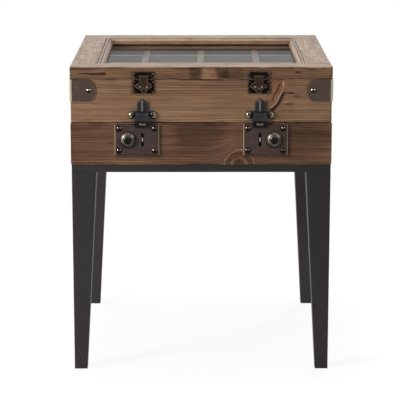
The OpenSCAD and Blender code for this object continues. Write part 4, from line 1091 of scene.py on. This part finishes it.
class TRUNK_OT_locks(bpy.types.Operator):
    """Make the trunk locks: plates, bezels, buttons, posts, cases and nails"""

    bl_idname = "trunk_table.locks"
    bl_label = "Trunk locks"

    def execute(self, context):
        metal = context.scene.trunk_metal
        plate = aged_metal("lock_bronze", metal.bronze, paint(190, 176, 146), rough=0.45, metallic=0.6,
                           patch=0.06, edge=0.25, mask=self.side_bevels, dirt_and_shade=self.plate_painted_shade)
        nickel = aged_metal("aged_nickel", paint(146, 139, 129), paint(222, 219, 208), rough=0.38,
                            metallic=1.0, edge=0.9, dirt_and_shade=self.bezel_painted_shade)
        button = aged_metal("dark_button", paint(36, 20, 20), paint(70, 48, 44), rough=0.35, metallic=0.3)
        steel = aged_metal("bright_post", paint(178, 170, 163), paint(225, 220, 212), rough=0.5,
                           metallic=0.7)
        nail = aged_metal("dark_nail", paint(116, 98, 90), paint(200, 184, 164), rough=0.22, metallic=1.0,
                          edge=0.1, dirt_and_shade=dome_painted_shade, pits=0.01)
        # The cases are near black, as painted shade seen through the keyholes.
        case = aged_metal("shade_black_casting", paint(16, 14, 14), paint(30, 28, 27), rough=0.7, metallic=0.1)
        softened("lock_plates", 0.45 * MM, plate, "pressed_lock_plates")
        softened("lock_bezels", 0.25 * MM, nickel, "turned_bezels")
        for side in ("left", "right"):
            softened("push_button_" + side, 0.3 * MM, button, "sprung_button_" + side)
        softened("key_posts", 0.3 * MM, steel, "key_guide_posts")
        softened("lock_nails", 0.15 * MM, nail, "domed_lock_nails")
        dress(case, "lock_cases")
        return {"FINISHED"}

    def bezel_painted_shade(self, f):
        """Painted shade on a bezel: in its mouth, over its lower right but for two thin lines left lit, and
        at its foot.
        """
        aside = f.x - f.sign(f.x) * BUTTON.x
        up = f.z - BUTTON.z
        out = hypotenuse(aside, up)
        line = f.step(abs(out - 12.8 * MM), 1 * MM, 0.4 * MM)
        inner_line = f.step(abs(out - 9.2 * MM), 1.2 * MM, 0.5 * MM)
        shaded = f.step((up * 0.85 - aside * 0.5) / out, 0.45, -0.3) * (1 - line * 0.5) * 0.87
        foot = f.step(out, 13.5 * MM, 15 * MM) * 0.5
        mouth = f.step(out, 7.8 * MM, 7.3 * MM) * 0.92
        return (shaded * (1 - inner_line)).most(foot).most(mouth)

    def plate_painted_shade(self, f):
        """Painted shade in the keyhole, and painted shadows round each nail and under the bezel, a little
        below them.
        """
        up = f.z - middle("lock_plates").z
        keyhole = f.step(abs(abs(f.x) - HASP_X), 2.8 * MM, 2.3 * MM)
        keyhole = keyhole * f.step(abs(f.z - middle("key_posts").z), 13.4 * MM, 12.6 * MM)
        nail_x, nail_z = 34.5 * MM, 21.75 * MM
        from_nail = hypotenuse(abs(abs(f.x) - LOCK_X) - nail_x, abs(up + 0.5 * MM) - nail_z)
        from_button = hypotenuse(abs(f.x) - BUTTON.x, up + 0.8 * MM)
        nail_shadow = f.step(from_nail, 7.8 * MM, 5.5 * MM) * 0.5
        bezel_shadow = f.step(from_button, 18.5 * MM, 15.5 * MM) * 0.45
        return (keyhole * 0.95).most(nail_shadow).most(bezel_shadow)

    def side_bevels(self, f):
        """Paler bare metal on the two upright bevels of each plate: partly wear, partly a painted highlight.
        """
        outer = LOCK_X + LOCK_WIDTH / 2
        across = abs(f.x)
        from_side = (outer - across).least(across - (outer - LOCK_WIDTH))
        return f.step(from_side, 2.2 * MM, 1.4 * MM) * 0.7


def hasp_domes():
    """The large domes: their distance from the middle of a hasp, their height and their radius."""
    low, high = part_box("hasp_nails")
    radius = (high.z - low.z) / 2
    return high.x - radius - HASP_X, low.z + radius, radius


class TRUNK_OT_hasps(bpy.types.Operator):
    """Make the hasps: plates, flaps, brass bars and their large domed nails"""

    bl_idname = "trunk_table.hasps"
    bl_label = "Hasps"

    def execute(self, context):
        metal = context.scene.trunk_metal
        black = aged_metal("black_lacquer", metal.black, paint(128, 126, 130), rough=0.34, metallic=0.2,
                           patch=0.04, edge=0.5, mask=self.rubbed_and_highlit, dirt_and_shade=self.painted_shade)
        brass = aged_metal("hasp_brass", metal.brass, paint(226, 210, 168), rough=0.22, metallic=1.0,
                           edge=0.5)
        dome = aged_metal("dome_brass", paint(146, 135, 114), paint(226, 214, 184), rough=0.2, metallic=1.0,
                          patch=0.2, edge=0.4, dirt_and_shade=self.dome_shade, pits=0.015)
        softened("hasp_plates", 0.5 * MM, black, "hasp_back_plates", self.drawn_in)
        for side in ("left", "right"):
            softened("hasp_flap_" + side, 0.7 * MM, black, "hinged_flap_" + side)
            softened("hasp_bar_" + side, 0.2 * MM, brass, "brass_bar_" + side)
        softened("hasp_nails", 0.2 * MM, dome, "large_domed_nails")
        return {"FINISHED"}

    def drawn_in(self, points):
        """Draws the ears of the plates in towards the axes of their domes, which then fill them."""
        apart, height, radius = hasp_domes()
        share = (radius - 1.1 * MM) / radius
        slack = 0.01 * MM
        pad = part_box("hasp_plates")[1].x - HASP_X - apart + slack
        across = np.abs(points[:, 0])
        for side in SIDES:
            centre = HASP_X + side * apart
            away = across - centre
            near = (np.abs(away) <= pad) & (np.abs(points[:, 2] - height) <= pad)
            picked = near & (away * side > -radius - slack)
            points[picked, 0] = np.sign(points[picked, 0]) * (centre + away[picked] * share)
            points[picked, 2] = height + (points[picked, 2] - height) * share
        return points

    def dome_shade(self, f):
        """Painted shade on a dome: round its rim, and over the side next to the flap."""
        way_x, way_y, way_z = f.split(f.place.beside("Normal"))
        inwards = way_x * f.sign(f.x - f.sign(f.x) * HASP_X) * -1
        rim = f.step(abs(way_y), 0.6, 0.48) * f.step(inwards, -0.3, 0.1)
        return (rim * 0.9).most(f.step(inwards - way_z * 0.4, -0.15, 0.3) * 0.85)

    def rubbed_and_highlit(self, f):
        """Painted highlight on the crest of each tab's rib; ear ends worn bare, partly a painted highlight.
        """
        aside = abs(abs(f.x) - HASP_X)
        tab_low, tab_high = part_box("hasp_flap_left")[1].z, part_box("hasp_plates")[1].z
        crest = f.step(aside, 1.9 * MM, 0.9 * MM) * f.step(f.z, tab_low + 1.9 * MM, tab_low + 3.4 * MM)
        crest = crest * f.step(f.z, tab_high - 1 * MM, tab_high - 2.5 * MM)
        apart, height, _ = hasp_domes()
        from_dome = hypotenuse(aside - apart, f.z - height)
        end = f.step(from_dome, 5.8 * MM, 6.4 * MM) * f.step(aside, 19.5 * MM, 21.5 * MM)
        return (crest * 0.7).most(end * 0.75)

    def painted_shade(self, f):
        """Painted shade in the sunk pocket that holds the brass bar."""
        low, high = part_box("hasp_bar_left")
        below = f.step(f.z, high.z + 3 * MM, high.z + 2.6 * MM)
        return below * f.step(f.y, low.y + 0.4 * MM, low.y + 1.2 * MM) * 0.7


class TRUNK_OT_latches(bpy.types.Operator):
    """Make the ornate box latches with their forked tongues"""

    bl_idname = "trunk_table.latches"
    bl_label = "Box latches"

    def execute(self, context):
        metal = context.scene.trunk_metal
        plates = aged_metal("latch_bronze", metal.latch, paint(176, 156, 140), rough=0.28, metallic=0.8,
                            patch=0.05, edge=0.6, mask=self.high_points)
        # The tongue's arrises are bare all along, partly as a painted highlight that outlines it.
        tongue = aged_metal("tongue_bronze", metal.tongue, paint(214, 190, 172), rough=0.34, metallic=0.65,
                            patch=0.05, edge=1.0, mask=self.bosses)
        softened("latch_upper_plates", 0.5 * MM, plates, "latch_plates_above")
        softened("latch_lower_plates", 0.5 * MM, plates, "latch_plates_below")
        for side in ("left", "right"):
            softened("latch_tongue_" + side, 0.9 * MM, tongue, "forked_tongue_" + side)
        return {"FINISHED"}

    def high_points(self, f):
        """Bare metal, partly painted highlight, on what stands out of the plates away from the tongue, as
        nail heads.
        """
        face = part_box("latch_upper_plates")[0].y
        aside = abs(abs(f.x) - LATCH_X)
        return f.step(f.y, face + 3.5 * MM, face + 2.9 * MM) * f.step(aside, 13.5 * MM, 15 * MM) * 0.8

    def bosses(self, f):
        """Bare metal, partly painted highlight, on the two bosses and along the front of the barrel."""
        low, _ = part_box("latch_tongue_left")
        boss = f.step(f.y, low.y + 1.4 * MM, low.y + 0.7 * MM)
        boss = boss * f.step(f.z, low.z + 17.2 * MM, low.z + 16.2 * MM)
        return boss.most(f.step(f.y, low.y + 1.2 * MM, low.y + 0.6 * MM)) * 0.3


class TRUNK_OT_brackets(bpy.types.Operator):
    """Make the bent corner brackets and their domed nails"""

    bl_idname = "trunk_table.brackets"
    bl_label = "Corner brackets"

    def execute(self, context):
        metal = context.scene.trunk_metal
        bronze = aged_metal("bracket_bronze", metal.bracket, paint(214, 202, 174), rough=0.42, metallic=0.6,
                            patch=0.05, edge=0.3, mask=self.bend)
        brass = aged_metal("bracket_brass", paint(172, 160, 130), paint(235, 222, 176), rough=0.18,
                           metallic=1.0, edge=0.1, dirt_and_shade=dome_painted_shade, pits=0.01)
        softened("corner_brackets", 0.5 * MM, bronze, "bent_brackets")
        softened("bracket_nails", 0.15 * MM, brass, "domed_bracket_nails")
        return {"FINISHED"}

    def bend(self, f):
        """Bare metal round the bend at the corner of the box, where the patina is polished away."""
        low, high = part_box("upper_front_board")
        from_x = high.x - abs(f.x)
        from_y = BOX_Y - low.y - abs(f.y - BOX_Y)
        reach = from_x.most(from_y) + (f.noise(f.place, 400.0, 3.0) - 0.5) * (1.6 * MM)
        return f.step(reach, 3.1 * MM, 2.1 * MM) * 0.95


class TRUNK_OT_hinges(bpy.types.Operator):
    """Make the leaves of the butt hinges and dress the pins and screws"""

    bl_idname = "trunk_table.hinges"
    bl_label = "Hinges and screws"

    def execute(self, context):
        leaf = aged_metal("hinge_bronze", paint(74, 66, 60), paint(150, 136, 116), rough=0.42, metallic=0.8)
        for hinge in ("trunk_hinge", "glass_hinge"):
            for part in ("lower", "upper"):
                softened(f"{hinge}_{part}_leaves", 0.25 * MM, leaf, f"rolled_{hinge}_{part}")
        zinc = aged_metal("zinc_plate", paint(160, 158, 152), paint(196, 194, 188), rough=0.3, metallic=1.0)
        dress(zinc, "lower_box_screws", "upper_box_screws", "frame_screws")
        pin = aged_metal("pin_steel", paint(110, 104, 98), paint(160, 154, 146), rough=0.35)
        dress(pin, "trunk_hinge_pins", "glass_hinge_pins", "hasp_pins", "latch_pins")
        return {"FINISHED"}


OPERATORS = (TRUNK_OT_stage, TRUNK_OT_base, TRUNK_OT_lower_box, TRUNK_OT_upper_box, TRUNK_OT_lid_frame,
             TRUNK_OT_tray, TRUNK_OT_locks, TRUNK_OT_hasps, TRUNK_OT_latches, TRUNK_OT_brackets,
             TRUNK_OT_hinges)
SETTINGS = {"trunk_timber": TimberSettings, "trunk_metal": MetalSettings, "trunk_studio": StudioSettings}


class TRUNK_PT_panel(bpy.types.Panel):
    """Sizes, colours and pieces of the trunk table"""

    bl_label = "Trunk Table"
    bl_idname = "TRUNK_PT_panel"
    bl_space_type = "VIEW_3D"
    bl_region_type = "UI"
    bl_category = "Trunk Table"

    def draw(self, context):
        for name, group in SETTINGS.items():
            box = self.layout.box()
            for field in group.__annotations__:
                box.prop(getattr(context.scene, name), field)
        for operator in OPERATORS:
            self.layout.operator(operator.bl_idname)


def register():
    for group in (*SETTINGS.values(), *OPERATORS, TRUNK_PT_panel):
        bpy.utils.register_class(group)
    for name, group in SETTINGS.items():
        setattr(bpy.types.Scene, name, bpy.props.PointerProperty(type=group))


def unregister():
    for name in SETTINGS:
        delattr(bpy.types.Scene, name)
    for group in (TRUNK_PT_panel, *reversed(OPERATORS), *SETTINGS.values()):
        bpy.utils.unregister_class(group)


def main():
    register()
    for operator in OPERATORS:
        family, name = operator.bl_idname.split(".")
        getattr(getattr(bpy.ops, family), name)()


if __name__ == "__main__":
    main()
